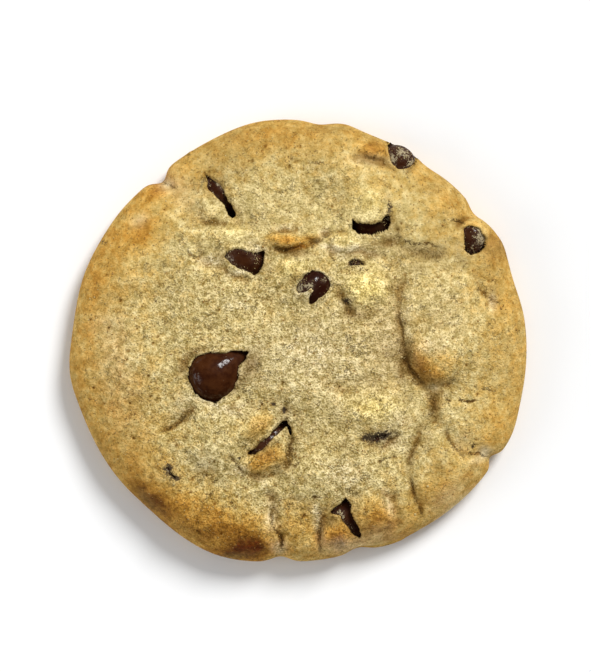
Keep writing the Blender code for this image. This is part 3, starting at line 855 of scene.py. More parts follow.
@dataclass(frozen=True)
class DoughFinish:
    """Baked dough: pale straw in the middle to red brown where it caught, sandy all over.

    A range holds two readings and the two results that they give. A scale is in points to the
    metre, and a depth in millimetres.
    """

    baking: tuple[tuple[float, Colour], ...] = (
        (0.0, (0.655, 0.510, 0.212)),
        (0.16, (0.610, 0.420, 0.135)),
        (0.32, (0.580, 0.350, 0.085)),
        (0.48, (0.520, 0.265, 0.045)),
        (0.64, (0.370, 0.165, 0.022)),
        (0.82, (0.190, 0.072, 0.010)),
        (1.0, (0.140, 0.030, 0.004)),
    )
    yellow: Colour = (0.88, 0.67, 0.22)
    blush: Colour = (0.64, 0.47, 0.22)
    # Colour of painted shade, mixed in where the shade spots lie.
    shade: Colour = (0.24, 0.145, 0.040)
    # Painted shade for hollows and painted highlight for crests, both multiplied in by the stored rise.
    valley_shade: Colour = (0.44, 0.33, 0.18)
    crest_highlight: Colour = (1.20, 1.23, 1.32)
    # Colour of painted light, mixed in where the light spots lie.
    pale: Colour = (0.88, 0.74, 0.44)
    smudge: Colour = (0.055, 0.038, 0.024)
    # Colour of painted shade in pits, hairline cracks and the grain's gaps.
    pit_shade: Colour = (0.080, 0.037, 0.010)
    stain: Colour = (0.030, 0.011, 0.004)
    dull_grain: Colour = (0.52, 0.48, 0.33)
    bright_grain: Colour = (1.38, 1.43, 1.62)
    dull_patch: Colour = (0.82, 0.80, 0.71)
    bright_patch: Colour = (1.15, 1.17, 1.26)
    grain: GrainGroup = field(default_factory=GrainGroup)
    fineness: float = 3000.0
    cloud_scale: float = 380.0
    drift_scale: float = 1150.0
    mottle_scale: float = 620.0
    cloud_swing: Range = (0.25, 0.75, -0.12, 0.12)
    drift_swing: Range = (0.25, 0.75, -0.08, 0.08)
    valley_shade_share: Range = (-0.02, -0.42, 0.0, 0.85)
    crest_highlight_share: Range = (0.02, 0.22, 0.0, 1.0)
    smudge_drift: Range = (0.25, 0.75, -0.22, 0.22)
    smudge_grain: Range = (0.35, 0.65, 0.2, -0.2)
    smudge_share: Range = (0.30, 0.75, 0.0, 0.92)
    stain_share: Range = (0.15, 0.6, 0.0, 1.0)
    dullness: Range = (0.1, 0.6, 0.85, 0.6)
    gap_shade_share: float = 0.5
    line_share: float = 0.85
    smooth_grain: float = 0.25
    line_height: float = 0.5
    bump_depth: float = 0.5
    specular: float = 0.04
    ragged_scale: float = 2100.0
    ragged_swing: Range = (0.2, 0.8, -0.34, 0.34)
    break_scale: float = 1300.0
    break_share: Range = (0.34, 0.5, 0.0, 1.0)
    run_share: Range = (0.20, 0.05, 0.0, 1.0)
    crinkle_scale: float = 330.0
    crinkle_share: Range = (0.016, 0.003, 0.0, 1.0)
    crinkled_scale: float = 450.0
    crinkled_share: Range = (0.54, 0.66, 0.0, 1.0)
    crinkle_strength: float = 0.75

    def material(self) -> bpy.types.Material:
        """Material of the dough, which reads all the numbers that are stored on it.

        Returns:
            The material.
        """
        material, wire, shader = fresh_material("baked_dough")
        place = wire.own_place()
        cloud = wire.noise(place, self.cloud_scale, 3.0, 0.6)
        drift = wire.noise(place, self.drift_scale, 3.0, 0.6)
        grain = self.grain.place(wire, self.fineness)
        unevenness = wire.maths("ADD", wire.ranged(cloud, *self.cloud_swing),
                                wire.ranged(drift, *self.drift_swing))
        baked = wire.maths("ADD", wire.attribute("bake"), unevenness)
        colour = wire.ramp(baked, self.baking)
        # Blush and yellow are the dough's own tints; shade and light paint shade and light into the colour.
        for name, tint in (("blush", self.blush), ("yellow", self.yellow), ("shade", self.shade),
                           ("light", self.pale)):
            colour = wire.mix(wire.attribute(name), colour, tint)
        # Painted shade in hollows below the blurred height, and a painted highlight on crests above it.
        rise = wire.attribute("rise")
        low = wire.mix(1.0, colour, self.valley_shade, "MULTIPLY")
        colour = wire.mix(wire.ranged(rise, *self.valley_shade_share), colour, low)
        high = wire.mix(1.0, colour, self.crest_highlight, "MULTIPLY")
        colour = wire.mix(wire.ranged(rise, *self.crest_highlight_share), colour, high)
        rough = wire.attribute("rough")
        swing = wire.mix(grain.outputs["Tone"], self.dull_grain, self.bright_grain)
        colour = wire.mix(rough, colour, wire.mix(1.0, colour, swing, "MULTIPLY"))
        mottle = wire.ranged(wire.noise(place, self.mottle_scale, 2.5, 0.65), 0.3, 0.7)
        patch = wire.mix(mottle, self.dull_patch, self.bright_patch)
        colour = wire.mix(1.0, colour, patch, "MULTIPLY")
        # Painted shade in the grain's gaps.
        gaps = wire.maths("MULTIPLY", grain.outputs["Gap"], self.gap_shade_share)
        colour = wire.mix(gaps, colour, self.pit_shade)
        # Hairline cracks get painted shade, and also dent the bump below.
        line = self.hairlines(wire, place, rough)
        colour = wire.mix(wire.maths("MULTIPLY", line, self.line_share), colour, self.pit_shade)
        smudge = wire.maths("ADD", wire.attribute("smudge"), wire.ranged(drift, *self.smudge_drift))
        smudge = wire.maths("ADD", smudge, wire.ranged(grain.outputs["Height"], *self.smudge_grain))
        colour = wire.mix(wire.ranged(smudge, *self.smudge_share), colour, self.smudge)
        colour = wire.mix(wire.ranged(wire.attribute("stain"), *self.stain_share), colour, self.stain)
        wire.join(colour, shader.inputs["Base Color"])
        wire.join(wire.ranged(baked, *self.dullness), shader.inputs["Roughness"])
        height = wire.maths("MULTIPLY", grain.outputs["Height"],
                            wire.maths("ADD", rough, self.smooth_grain))
        height = wire.maths("SUBTRACT", height, wire.maths("MULTIPLY", line, self.line_height))
        wire.join(wire.bump(height, self.bump_depth), shader.inputs["Normal"])
        shader.inputs["Specular IOR Level"].default_value = self.specular
        return material

    def hairlines(self, wire: Wiring, place: Socket, rough: Socket) -> Socket:
        """Fine cracks along the stored runs, and short strokes where a noise is near its middle.

        Args:
            wire: the material's wiring.
            place: coordinates that it reads.
            rough: how craggy the crust is.

        Returns:
            Share that is 1 in a crack.
        """
        ragged = wire.ranged(wire.noise(place, self.ragged_scale, 2.0, 0.6), *self.ragged_swing)
        across = wire.maths("ABSOLUTE", wire.maths("ADD", wire.attribute("crack_side"), ragged), 0.0)
        breaks = wire.ranged(wire.noise(place, self.break_scale, 1.0, 0.5), *self.break_share)
        run = wire.maths("MULTIPLY", wire.ranged(across, *self.run_share), wire.attribute("crack"))
        run = wire.maths("MULTIPLY", run, breaks)
        crinkle = wire.maths("SUBTRACT", wire.noise(place, self.crinkle_scale, 4.0, 0.7), 0.5)
        crinkle = wire.maths("ABSOLUTE", crinkle, 0.0)
        where = wire.ranged(wire.noise(place, self.crinkled_scale, 1.0, 0.5), *self.crinkled_share)
        stroke = wire.maths("MULTIPLY", wire.ranged(crinkle, *self.crinkle_share), where)
        stroke = wire.maths("MULTIPLY", stroke, wire.maths("MULTIPLY", rough, self.crinkle_strength))
        return wire.maths("MAXIMUM", run, stroke)


@dataclass(frozen=True)
class ChocolateFinish:
    """Dark chocolate with a soft sheen, dulled where crumb and bloom lie on it."""

    darkest: Colour = (0.020, 0.004, 0.002)
    deep: Colour = (0.034, 0.008, 0.0018)
    warm: Colour = (0.066, 0.020, 0.005)
    bloom: Colour = (0.125, 0.080, 0.055)
    dust: Colour = (0.46, 0.38, 0.23)
    grain: GrainGroup = field(default_factory=GrainGroup)
    fineness: float = 3400.0
    cloud_scale: float = 520.0
    streak_scale: float = 1700.0
    warm_share: Range = (0.34, 0.66, 0.0, 1.0)
    bloom_streaks: Range = (0.4, 0.62, 0.15, 1.0)
    bloom_share: float = 0.75
    dust_lift: float = 0.30
    film_share: Range = (0.66, 0.80, 0.0, 0.85)
    dullness: Range = (0.0, 0.5, 0.45, 0.8)
    clean_share: Range = (0.1, 0.6, 1.0, 0.15)
    sheen_streaks: Range = (0.42, 0.62, 0.0, 0.6)
    sheen_roughness: float = 0.12
    smooth_grain: float = 0.14
    streak_height: float = 0.45
    bump_depth: float = 0.28
    specular: float = 0.03

    def material(self) -> bpy.types.Material:
        """Material of the chips, which reads the stored numbers dust and dark.

        Returns:
            The material.
        """
        material, wire, shader = fresh_material("chocolate")
        place = wire.own_place()
        cloud = wire.noise(place, self.cloud_scale, 3.0, 0.6)
        streak = wire.noise(place, self.streak_scale, 3.0, 0.65)
        grain = self.grain.place(wire, self.fineness)
        dust = wire.attribute("dust")
        colour = wire.mix(wire.ranged(cloud, *self.warm_share), self.deep, self.warm)
        # Darker chocolate, and painted shade for chips seen down narrow slits.
        colour = wire.mix(wire.attribute("dark"), colour, self.darkest)
        lifted = wire.maths("MULTIPLY", wire.ranged(streak, *self.bloom_streaks),
                            wire.maths("MULTIPLY", dust, self.bloom_share))
        colour = wire.mix(lifted, colour, self.bloom)
        height = grain.outputs["Height"]
        reach = wire.maths("ADD", height, wire.maths("MULTIPLY", dust, self.dust_lift))
        film = wire.ranged(reach, *self.film_share)
        colour = wire.mix(film, colour, self.dust)
        wire.join(colour, shader.inputs["Base Color"])
        wire.join(wire.ranged(dust, *self.dullness), shader.inputs["Roughness"])
        clean = wire.ranged(dust, *self.clean_share)
        sheen = wire.maths("MULTIPLY", wire.ranged(streak, *self.sheen_streaks), clean)
        wire.join(sheen, shader.inputs["Coat Weight"])
        shader.inputs["Coat Roughness"].default_value = self.sheen_roughness
        grains = wire.maths("MULTIPLY", height, wire.maths("ADD", dust, self.smooth_grain))
        worn = wire.maths("ADD", grains, wire.maths("MULTIPLY", streak, self.streak_height))
        wire.join(wire.bump(worn, self.bump_depth), shader.inputs["Normal"])
        shader.inputs["Specular IOR Level"].default_value = self.specular
        return material


@dataclass(frozen=True)
class CrumbFinish:
    """Loose grains, each between toasted and pale."""

    toasted: Colour = (0.30, 0.155, 0.035)
    straw: Colour = (0.52, 0.38, 0.145)
    pale: Colour = (0.68, 0.56, 0.28)
    speck_scale: float = 6000.0
    tone_swing: Range = (0.3, 0.7, -0.1, 0.1)
    dullness: Range = (0.3, 0.7, 0.6, 0.85)
    bump_depth: float = 0.05
    specular: float = 0.12

    def material(self) -> bpy.types.Material:
        """Material of the crumbs, which reads the stored number tone.

        Returns:
            The material.
        """
        material, wire, shader = fresh_material("crumbs")
        place = wire.own_place()
        speck = wire.noise(place, self.speck_scale, 1.0, 0.5)
        tone = wire.maths("ADD", wire.attribute("tone"), wire.ranged(speck, *self.tone_swing))
        colour = wire.ramp(tone, ((0.0, self.toasted), (0.5, self.straw), (1.0, self.pale)))
        wire.join(colour, shader.inputs["Base Color"])
        wire.join(wire.ranged(speck, *self.dullness), shader.inputs["Roughness"])
        wire.join(wire.bump(speck, self.bump_depth), shader.inputs["Normal"])
        shader.inputs["Specular IOR Level"].default_value = self.specular
        return material


@dataclass(frozen=True)
class FloorFinish:
    """Plain pale sheet under the cookie."""

    white: Colour = (0.93, 0.93, 0.93)
    grey: Colour = (0.9, 0.9, 0.9)
    cloud_scale: float = 3.0
    grey_share: Range = (0.3, 0.7, 0.0, 0.1)
    dullness: float = 0.9
    specular: float = 0.1

    def material(self) -> bpy.types.Material:
        """Material of the floor.

        Returns:
            The material.
        """
        material, wire, shader = fresh_material("pale_floor")
        place = wire.own_place()
        cloud = wire.noise(place, self.cloud_scale, 1.0, 0.5)
        colour = wire.mix(wire.ranged(cloud, *self.grey_share), self.white, self.grey)
        wire.join(colour, shader.inputs["Base Color"])
        shader.inputs["Roughness"].default_value = self.dullness
        shader.inputs["Specular IOR Level"].default_value = self.specular
        return material


@dataclass(frozen=True)
class DoughColours:
    """Where the dough is browner, yellower, pinker or chocolate smudged, with painted shade and light."""

    baked: tuple[Patch, ...] = patches(
        (-29.3, 19.8, 5.0, 2.4, 27.0, 0.24), (-27.5, 27.4, 3.2, 1.4, 45.0, 0.22),
        (-26.2, -28.9, 5.4, 2.4, -45.0, 0.30), (-13.2, -35.6, 8.0, 4.0, -14.0, 0.42),
        (-8.5, -38.1, 2.8, 2.2, 0.0, 0.55), (-17.6, -30.6, 5.0, 3.0, -20.0, 0.20),
        (-37.5, 10.5, 2.6, 4.6, 0.0, 0.14), (-29.5, -8.1, 3.8, 2.8, 0.0, 0.12),
        (15.2, -33.2, 4.2, 3.6, 0.0, 0.38), (24.7, -30.5, 4.4, 2.8, 45.0, 0.12),
        (28.0, -26.0, 4.4, 4.0, 45.0, 0.12), (36.6, -16.6, 2.4, 3.6, 0.0, 0.14),
        (38.4, 7.5, 2.0, 4.4, 0.0, 0.14), (36.4, 17.3, 2.2, 3.0, 0.0, 0.30),
        (4.0, 40.0, 12.0, 2.2, -6.0, 0.06), (-24.6, 29.0, 4.0, 2.2, 35.0, 0.16),
        (-6.1, 37.6, 9.0, 2.4, 0.0, 0.16), (24.8, -4.8, 4.4, 2.8, 10.0, 0.38),
        # The spots at 21.4, -2.8 and 24.2, -6.3 brown the right bump's flank: partly browning, partly
        # painted shade.
        (23.0, -3.6, 1.8, 2.6, 20.0, 0.12), (21.4, -2.8, 0.8, 2.8, 18.0, 0.30),
        (24.2, -6.3, 2.4, 0.9, -10.0, 0.30), (25.6, -10.8, 1.2, 2.2, 0.0, 0.30),
        (22.4, -0.6, 1.6, 4.0, 8.0, 0.16), (-2.6, 18.7, 2.9, 1.3, -5.0, 0.58),
        (2.2, 18.9, 1.9, 0.9, 10.0, 0.50), (0.4, 17.4, 2.4, 0.4, 10.0, 0.45),
        (7.2, -36.2, 3.0, 2.6, 0.0, 0.42), (8.0, -37.2, 1.0, 1.0, 0.0, 0.20),
        (-12.4, -39.2, 4.5, 1.3, 8.0, 0.40), (-27.8, -29.0, 4.0, 1.4, -45.0, 0.25),
        (-5.2, -20.2, 2.0, 1.5, 20.0, 0.25), (-1.4, 13.6, 3.0, 1.6, 0.0, 0.16),
        (-6.2, -22.0, 3.8, 2.0, 20.0, 0.52), (-7.3, -15.7, 2.6, 1.7, 35.0, 0.55),
        (13.9, 35.4, 2.8, 1.5, -10.0, 0.30), (27.8, 25.2, 4.0, 2.0, -45.0, 0.14),
        (-32.1, 14.9, 7.0, 9.0, 0.0, 0.04), (-31.0, -12.0, 7.0, 14.0, 12.0, 0.10),
        (-23.8, -31.1, 4.0, 2.2, -35.0, 0.12), (0.0, -34.0, 7.0, 4.0, 0.0, 0.14),
    )
    yellow: tuple[Patch, ...] = patches(
        (-0.4, 13.9, 3.2, 1.3, -5.0, 0.42), (-2.4, 12.2, 1.6, 1.6, 0.0, 0.45),
        (12.6, 9.8, 3.6, 3.0, 0.0, 0.95), (14.2, -12.3, 3.8, 2.2, 0.0, 0.75),
        (8.2, 18.2, 3.0, 1.3, -10.0, 0.35), (-8.0, -15.8, 3.0, 1.6, 35.0, 0.30),
        (13.2, 25.6, 3.6, 2.8, 0.0, 0.35), (-11.4, 19.8, 4.6, 2.0, -10.0, 0.25),
    )
    blush: tuple[Patch, ...] = patches(
        (17.0, 1.0, 4.0, 10.0, 0.0, 0.5), (27.0, 5.0, 5.0, 6.0, 0.0, 0.3),
        (8.0, -2.0, 8.0, 8.0, 0.0, 0.3),
    )
    # Painted shade: darker spots in valleys, under lumps and the flake, beside chips and on the unlit rim.
    shade: tuple[Patch, ...] = patches(
        (-10.0, 31.5, 2.0, 1.8, 0.0, 0.28), (23.4, 15.8, 4.2, 1.5, -6.0, 0.45),
        (16.4, 19.0, 1.8, 0.9, -30.0, 0.4), (36.0, 16.6, 1.6, 2.4, 0.0, 0.3),
        (-24.1, 9.4, 5.0, 2.6, 0.0, 0.12), (14.8, -17.9, 3.6, 1.9, 6.0, 0.45),
        (-24.1, -24.2, 2.8, 1.8, -30.0, 0.3), (17.4, 22.2, 1.4, 2.4, 0.0, 0.45),
        (8.4, 7.4, 1.8, 2.0, 0.0, 0.3), (19.6, -3.4, 1.5, 4.6, 14.0, 0.4),
        (25.3, -11.2, 1.2, 2.6, 0.0, 0.5), (28.8, -7.6, 2.6, 1.0, 10.0, 0.25),
        (-2.6, -23.2, 2.2, 2.4, 0.0, 0.35), (-2.8, -13.6, 1.6, 2.4, 0.0, 0.35),
        (0.4, -17.0, 1.2, 3.0, 0.0, 0.3), (35.0, 17.6, 1.6, 3.2, 0.0, 0.35),
        (29.8, 21.8, 1.4, 1.2, 0.0, 0.4), (24.4, 17.2, 3.4, 1.8, 0.0, 0.35),
        (19.2, 17.0, 2.6, 2.2, 0.0, 0.25), (11.0, 16.8, 3.6, 1.2, 0.0, 0.4),
        (-18.6, 24.2, 1.6, 2.4, 0.0, 0.25), (-14.6, 21.6, 2.6, 0.9, 0.0, 0.4),
        (-14.6, 14.0, 2.0, 1.0, -40.0, 0.3), (-21.4, -4.4, 1.3, 1.8, 0.0, 0.4),
        (16.6, -19.6, 3.0, 0.8, 10.0, 0.2), (4.2, -34.0, 0.9, 4.0, 0.0, 0.35),
        (6.4, -33.0, 1.6, 1.2, 0.0, 0.3), (20.6, -20.0, 0.9, 3.6, 0.0, 0.25),
        (21.6, -29.0, 0.9, 4.4, 20.0, 0.25), (29.0, -19.0, 3.0, 0.8, -40.0, 0.25),
        (-4.4, -33.0, 1.2, 5.0, 14.0, 0.25), (-0.4, 16.3, 3.4, 1.0, -4.0, 1.0),
        (3.4, 18.5, 0.9, 1.0, 0.0, 0.75), (14.4, 18.1, 1.5, 0.8, 0.0, 0.50),
        (-5.6, 13.8, 1.3, 1.7, 0.0, 0.50), (16.7, 18.1, 1.7, 0.9, 25.0, 0.70),
        (18.7, 20.5, 0.9, 1.1, 0.0, 0.60), (16.5, 26.6, 0.9, 1.3, 0.0, 0.50),
        (-8.6, -4.3, 1.5, 3.4, -28.0, 1.0), (-7.0, -6.6, 2.0, 2.0, 0.0, 0.30),
        (-17.6, -1.5, 2.0, 0.6, 20.0, 0.5), (-11.1, -8.4, 0.7, 2.0, -35.0, 0.50),
        (-18.9, -1.8, 1.7, 0.7, 40.0, 0.50), (-20.9, -4.2, 0.8, 2.2, -20.0, 0.9),
        (17.1, -2.1, 1.3, 2.6, -20.0, 0.35), (19.3, -5.8, 0.9, 2.0, 0.0, 0.50),
        (20.4, -2.2, 1.0, 2.8, -14.0, 0.65), (21.9, -6.7, 1.7, 0.7, -40.0, 0.60),
        (25.6, -7.3, 2.2, 0.6, 0.0, 0.40), (26.2, -9.5, 2.4, 1.0, -5.0, 0.60),
        (24.2, -6.6, 2.4, 0.8, -10.0, 0.50), (21.1, -2.8, 0.8, 2.8, 18.0, 0.40),
        (18.8, -4.8, 1.2, 1.8, 0.0, 0.35), (25.6, -12.5, 1.1, 2.2, -10.0, 0.40),
        (23.9, -18.5, 1.3, 2.6, -12.0, 0.45), (20.8, -21.8, 0.9, 3.7, -20.0, 0.25),
        (-2.2, -12.7, 1.1, 1.1, 0.0, 0.70), (2.6, -16.6, 0.7, 2.2, -30.0, 0.30),
        (8.5, -19.2, 1.3, 1.7, -20.0, 0.40), (7.1, -12.0, 0.7, 2.6, 15.0, 0.30),
        (-3.0, -23.3, 1.7, 1.1, 0.0, 0.40), (-8.9, -15.9, 1.3, 1.1, -30.0, 0.30),
        (-6.7, -19.6, 1.3, 1.1, 0.0, 0.30), (-14.3, 29.8, 0.9, 2.2, 40.0, 0.60),
        (-11.1, 24.2, 0.7, 2.0, 35.0, 0.50), (-8.5, 21.6, 2.6, 0.7, 0.0, 0.35),
        (-16.0, 26.8, 0.7, 1.7, 40.0, 0.30), (22.3, 13.5, 1.9, 0.9, -15.0, 0.45),
        (27.8, 13.5, 2.6, 0.7, 0.0, 0.30), (29.7, 16.8, 0.7, 2.2, 0.0, 0.40),
        (37.9, 17.5, 1.1, 2.2, 20.0, 0.50), (17.4, 9.7, 0.7, 3.3, 0.0, 0.30),
        (20.2, 5.3, 0.7, 2.6, 0.0, 0.25), (12.1, 12.9, 1.5, 0.7, 0.0, 0.40),
        (11.0, 4.9, 3.4, 1.0, 0.0, 0.80), (5.9, -33.7, 1.9, 1.1, 0.0, 0.35),
        (10.4, -28.3, 1.3, 1.5, 0.0, 0.50), (12.6, -32.9, 0.7, 2.2, 0.0, 0.30),
        (-28.2, -29.4, 4.6, 1.2, -45.0, 0.60), (-12.2, -40.0, 3.7, 0.8, 10.0, 0.70),
        (-20.5, -35.4, 4.5, 1.2, -30.0, 0.40), (-36.2, -20.8, 5.0, 1.3, -60.0, 0.32),
        (-40.8, -10.9, 5.0, 1.2, -75.0, 0.25), (0.0, 36.5, 15.0, 5.5, 0.0, 0.26),
        (-14.0, 34.5, 6.0, 4.0, 20.0, 0.20), (30.8, 14.8, 1.6, 1.0, 30.0, 0.40),
        (-14.3, 15.7, 0.7, 1.7, 40.0, 0.60), (6.3, -33.2, 1.0, 1.0, 0.0, 0.40),
        (10.8, -31.3, 0.6, 1.6, -10.0, 0.50), (-5.4, -20.3, 2.0, 1.4, 20.0, 0.35),
        (28.0, 28.0, 6.5, 3.6, -45.0, 0.32), (37.5, 13.0, 3.0, 7.0, 10.0, 0.16),
        (27.5, 17.5, 2.6, 2.6, 0.0, 0.2), (39.6, -5.0, 2.4, 8.0, 0.0, 0.14),
        (26.4, -22.2, 1.6, 2.4, 0.0, 0.25), (-1.4, -19.6, 0.6, 2.2, 10.0, 0.6),
        (24.5, 27.6, 2.2, 0.9, -20.0, 0.25), (28.2, 23.8, 1.3, 1.1, 0.0, 0.25),
        (-11.7, 38.1, 2.6, 1.3, 0.0, 0.15), (5.9, 39.4, 5.6, 0.9, 0.0, 0.25),
        (-15.6, 33.9, 2.2, 1.1, 0.0, 0.20), (14.8, 37.2, 2.2, 0.9, -20.0, 0.30),
        (40.8, 7.5, 0.9, 7.4, 0.0, 0.20), (3.3, 32.0, 0.7, 2.2, 35.0, 0.25),
        (-16.0, 9.7, 2.6, 1.1, 0.0, 0.20), (-23.0, -23.1, 0.9, 0.9, 0.0, 0.35),
        (-26.0, -25.3, 0.9, 0.9, 0.0, 0.35), (-18.2, -31.1, 1.9, 1.1, 0.0, 0.20),
    )
    # Painted light: paler spots on lit ridges, bump tops and stretches of the rim.
    light: tuple[Patch, ...] = patches(
        (-2.2, 20.9, 1.9, 0.7, 0.0, 0.50), (5.0, 20.0, 0.9, 0.9, 0.0, 0.60),
        (6.1, 17.2, 1.7, 0.7, -25.0, 0.80), (7.6, 16.5, 2.6, 0.8, -20.0, 0.45),
        (10.0, 17.0, 2.2, 0.7, 0.0, 0.70), (13.2, 16.1, 1.5, 0.6, -20.0, 0.60),
        (-7.8, 17.5, 2.2, 1.3, -30.0, 0.50), (-16.3, 14.8, 1.7, 0.9, 0.0, 0.80),
        (-11.5, 12.5, 2.6, 0.6, 20.0, 0.60), (-11.1, 7.1, 2.6, 1.3, 0.0, 0.25),
        (-24.1, 29.0, 1.1, 0.9, 0.0, 0.50), (5.2, 11.4, 1.5, 0.9, -20.0, 0.70),
        (8.7, 7.0, 0.9, 0.7, 0.0, 0.50), (1.9, 9.0, 0.7, 0.9, 0.0, 0.30),
        (-21.5, -12.5, 1.9, 2.2, 0.0, 0.35), (-12.2, -12.5, 3.0, 0.9, 20.0, 0.45),
        (-10.8, -23.7, 1.3, 1.1, 0.0, 0.50), (-7.4, -25.5, 1.7, 0.7, 0.0, 0.50),
        (-17.3, -22.6, 2.6, 1.7, 0.0, 0.20), (8.7, -24.4, 3.7, 2.6, 0.0, 0.35),
        (17.4, -18.5, 1.9, 1.3, 0.0, 0.50), (16.7, -29.6, 0.9, 2.6, 20.0, 0.45),
        (18.9, -14.4, 2.2, 1.5, 0.0, 0.30), (2.2, -1.8, 5.6, 3.0, 0.0, 0.22),
        (0.0, -3.0, 11.0, 9.0, 0.0, 0.18), (-32.0, -7.0, 4.5, 11.0, 8.0, 0.12),
        (24.9, -0.8, 2.2, 1.6, 0.0, 0.35), (8.6, -38.2, 4.0, 1.4, 0.0, 0.35),
        (14.8, -36.4, 4.0, 2.0, 15.0, 0.22), (27.6, -28.6, 4.0, 1.6, 45.0, 0.2),
        (1.0, 9.0, 1.6, 0.9, 0.0, 0.4), (-4.8, -31.8, 1.1, 2.6, 0.0, 0.60),
        (-3.3, -38.1, 1.3, 1.3, 0.0, 0.50), (3.7, -32.9, 0.7, 3.7, 8.0, 0.60),
        (30.4, -18.5, 1.9, 1.9, 0.0, 0.20), (28.6, -31.6, 6.3, 1.0, 42.0, 0.50),
        (34.0, -21.4, 1.8, 0.9, 30.0, 0.50), (-15.0, -11.9, 5.0, 0.7, -20.0, 0.50),
        (13.5, 33.4, 3.0, 0.9, -5.0, 0.50), (-21.4, 27.4, 4.6, 2.4, -48.0, 0.20),
        (-33.5, -2.0, 3.0, 5.0, 0.0, 0.10), (34.5, -20.3, 0.9, 0.9, 0.0, 0.50),
        (36.0, 7.5, 0.7, 1.7, 0.0, 0.60), (25.2, -8.6, 1.1, 0.6, 0.0, 0.40),
        (-29.3, 22.4, 1.5, 1.1, 30.0, 0.30), (-34.9, 2.9, 3.0, 2.2, 0.0, 0.15),
    )
    smudge: tuple[Patch, ...] = patches(
        (15.2, -17.6, 2.6, 1.1, 15.0, 0.95), (12.8, -17.6, 1.6, 0.8, 0.0, 0.45),
        (-24.0, -23.3, 1.0, 0.9, 0.0, 0.9), (-22.5, -25.2, 0.9, 0.6, -30.0, 0.9),
        (-24.4, -24.8, 1.8, 1.0, -20.0, 0.35), (11.7, 13.3, 1.2, 0.8, -20.0, 0.6),
        (10.0, 14.3, 0.9, 0.5, 20.0, 0.9), (-36.0, 18.1, 0.9, 0.8, 0.0, 0.55),
        (32.3, -19.4, 0.6, 1.1, -20.0, 0.55), (9.2, 7.4, 1.0, 0.8, 20.0, 0.75),
        (-2.5, -12.8, 0.4, 0.8, 0.0, 1.3), (-4.4, -11.6, 0.6, 0.3, -10.0, 1.5),
        (-10.8, -21.6, 0.4, 0.2, 20.0, 1.4), (16.9, 24.6, 0.8, 1.6, -5.0, 0.78),
    )
    rim_baking: tuple[float, float, float] = (0.27, 0.62, 1.02)
    left_baking: tuple[float, float, float] = (0.06, 10.0, 36.0)
    side_baking: float = 0.42
    under_baking: float = 0.56
    under_blotches: Noise = (0.14, 9.0, 3)
    edge_shade: float = 0.35


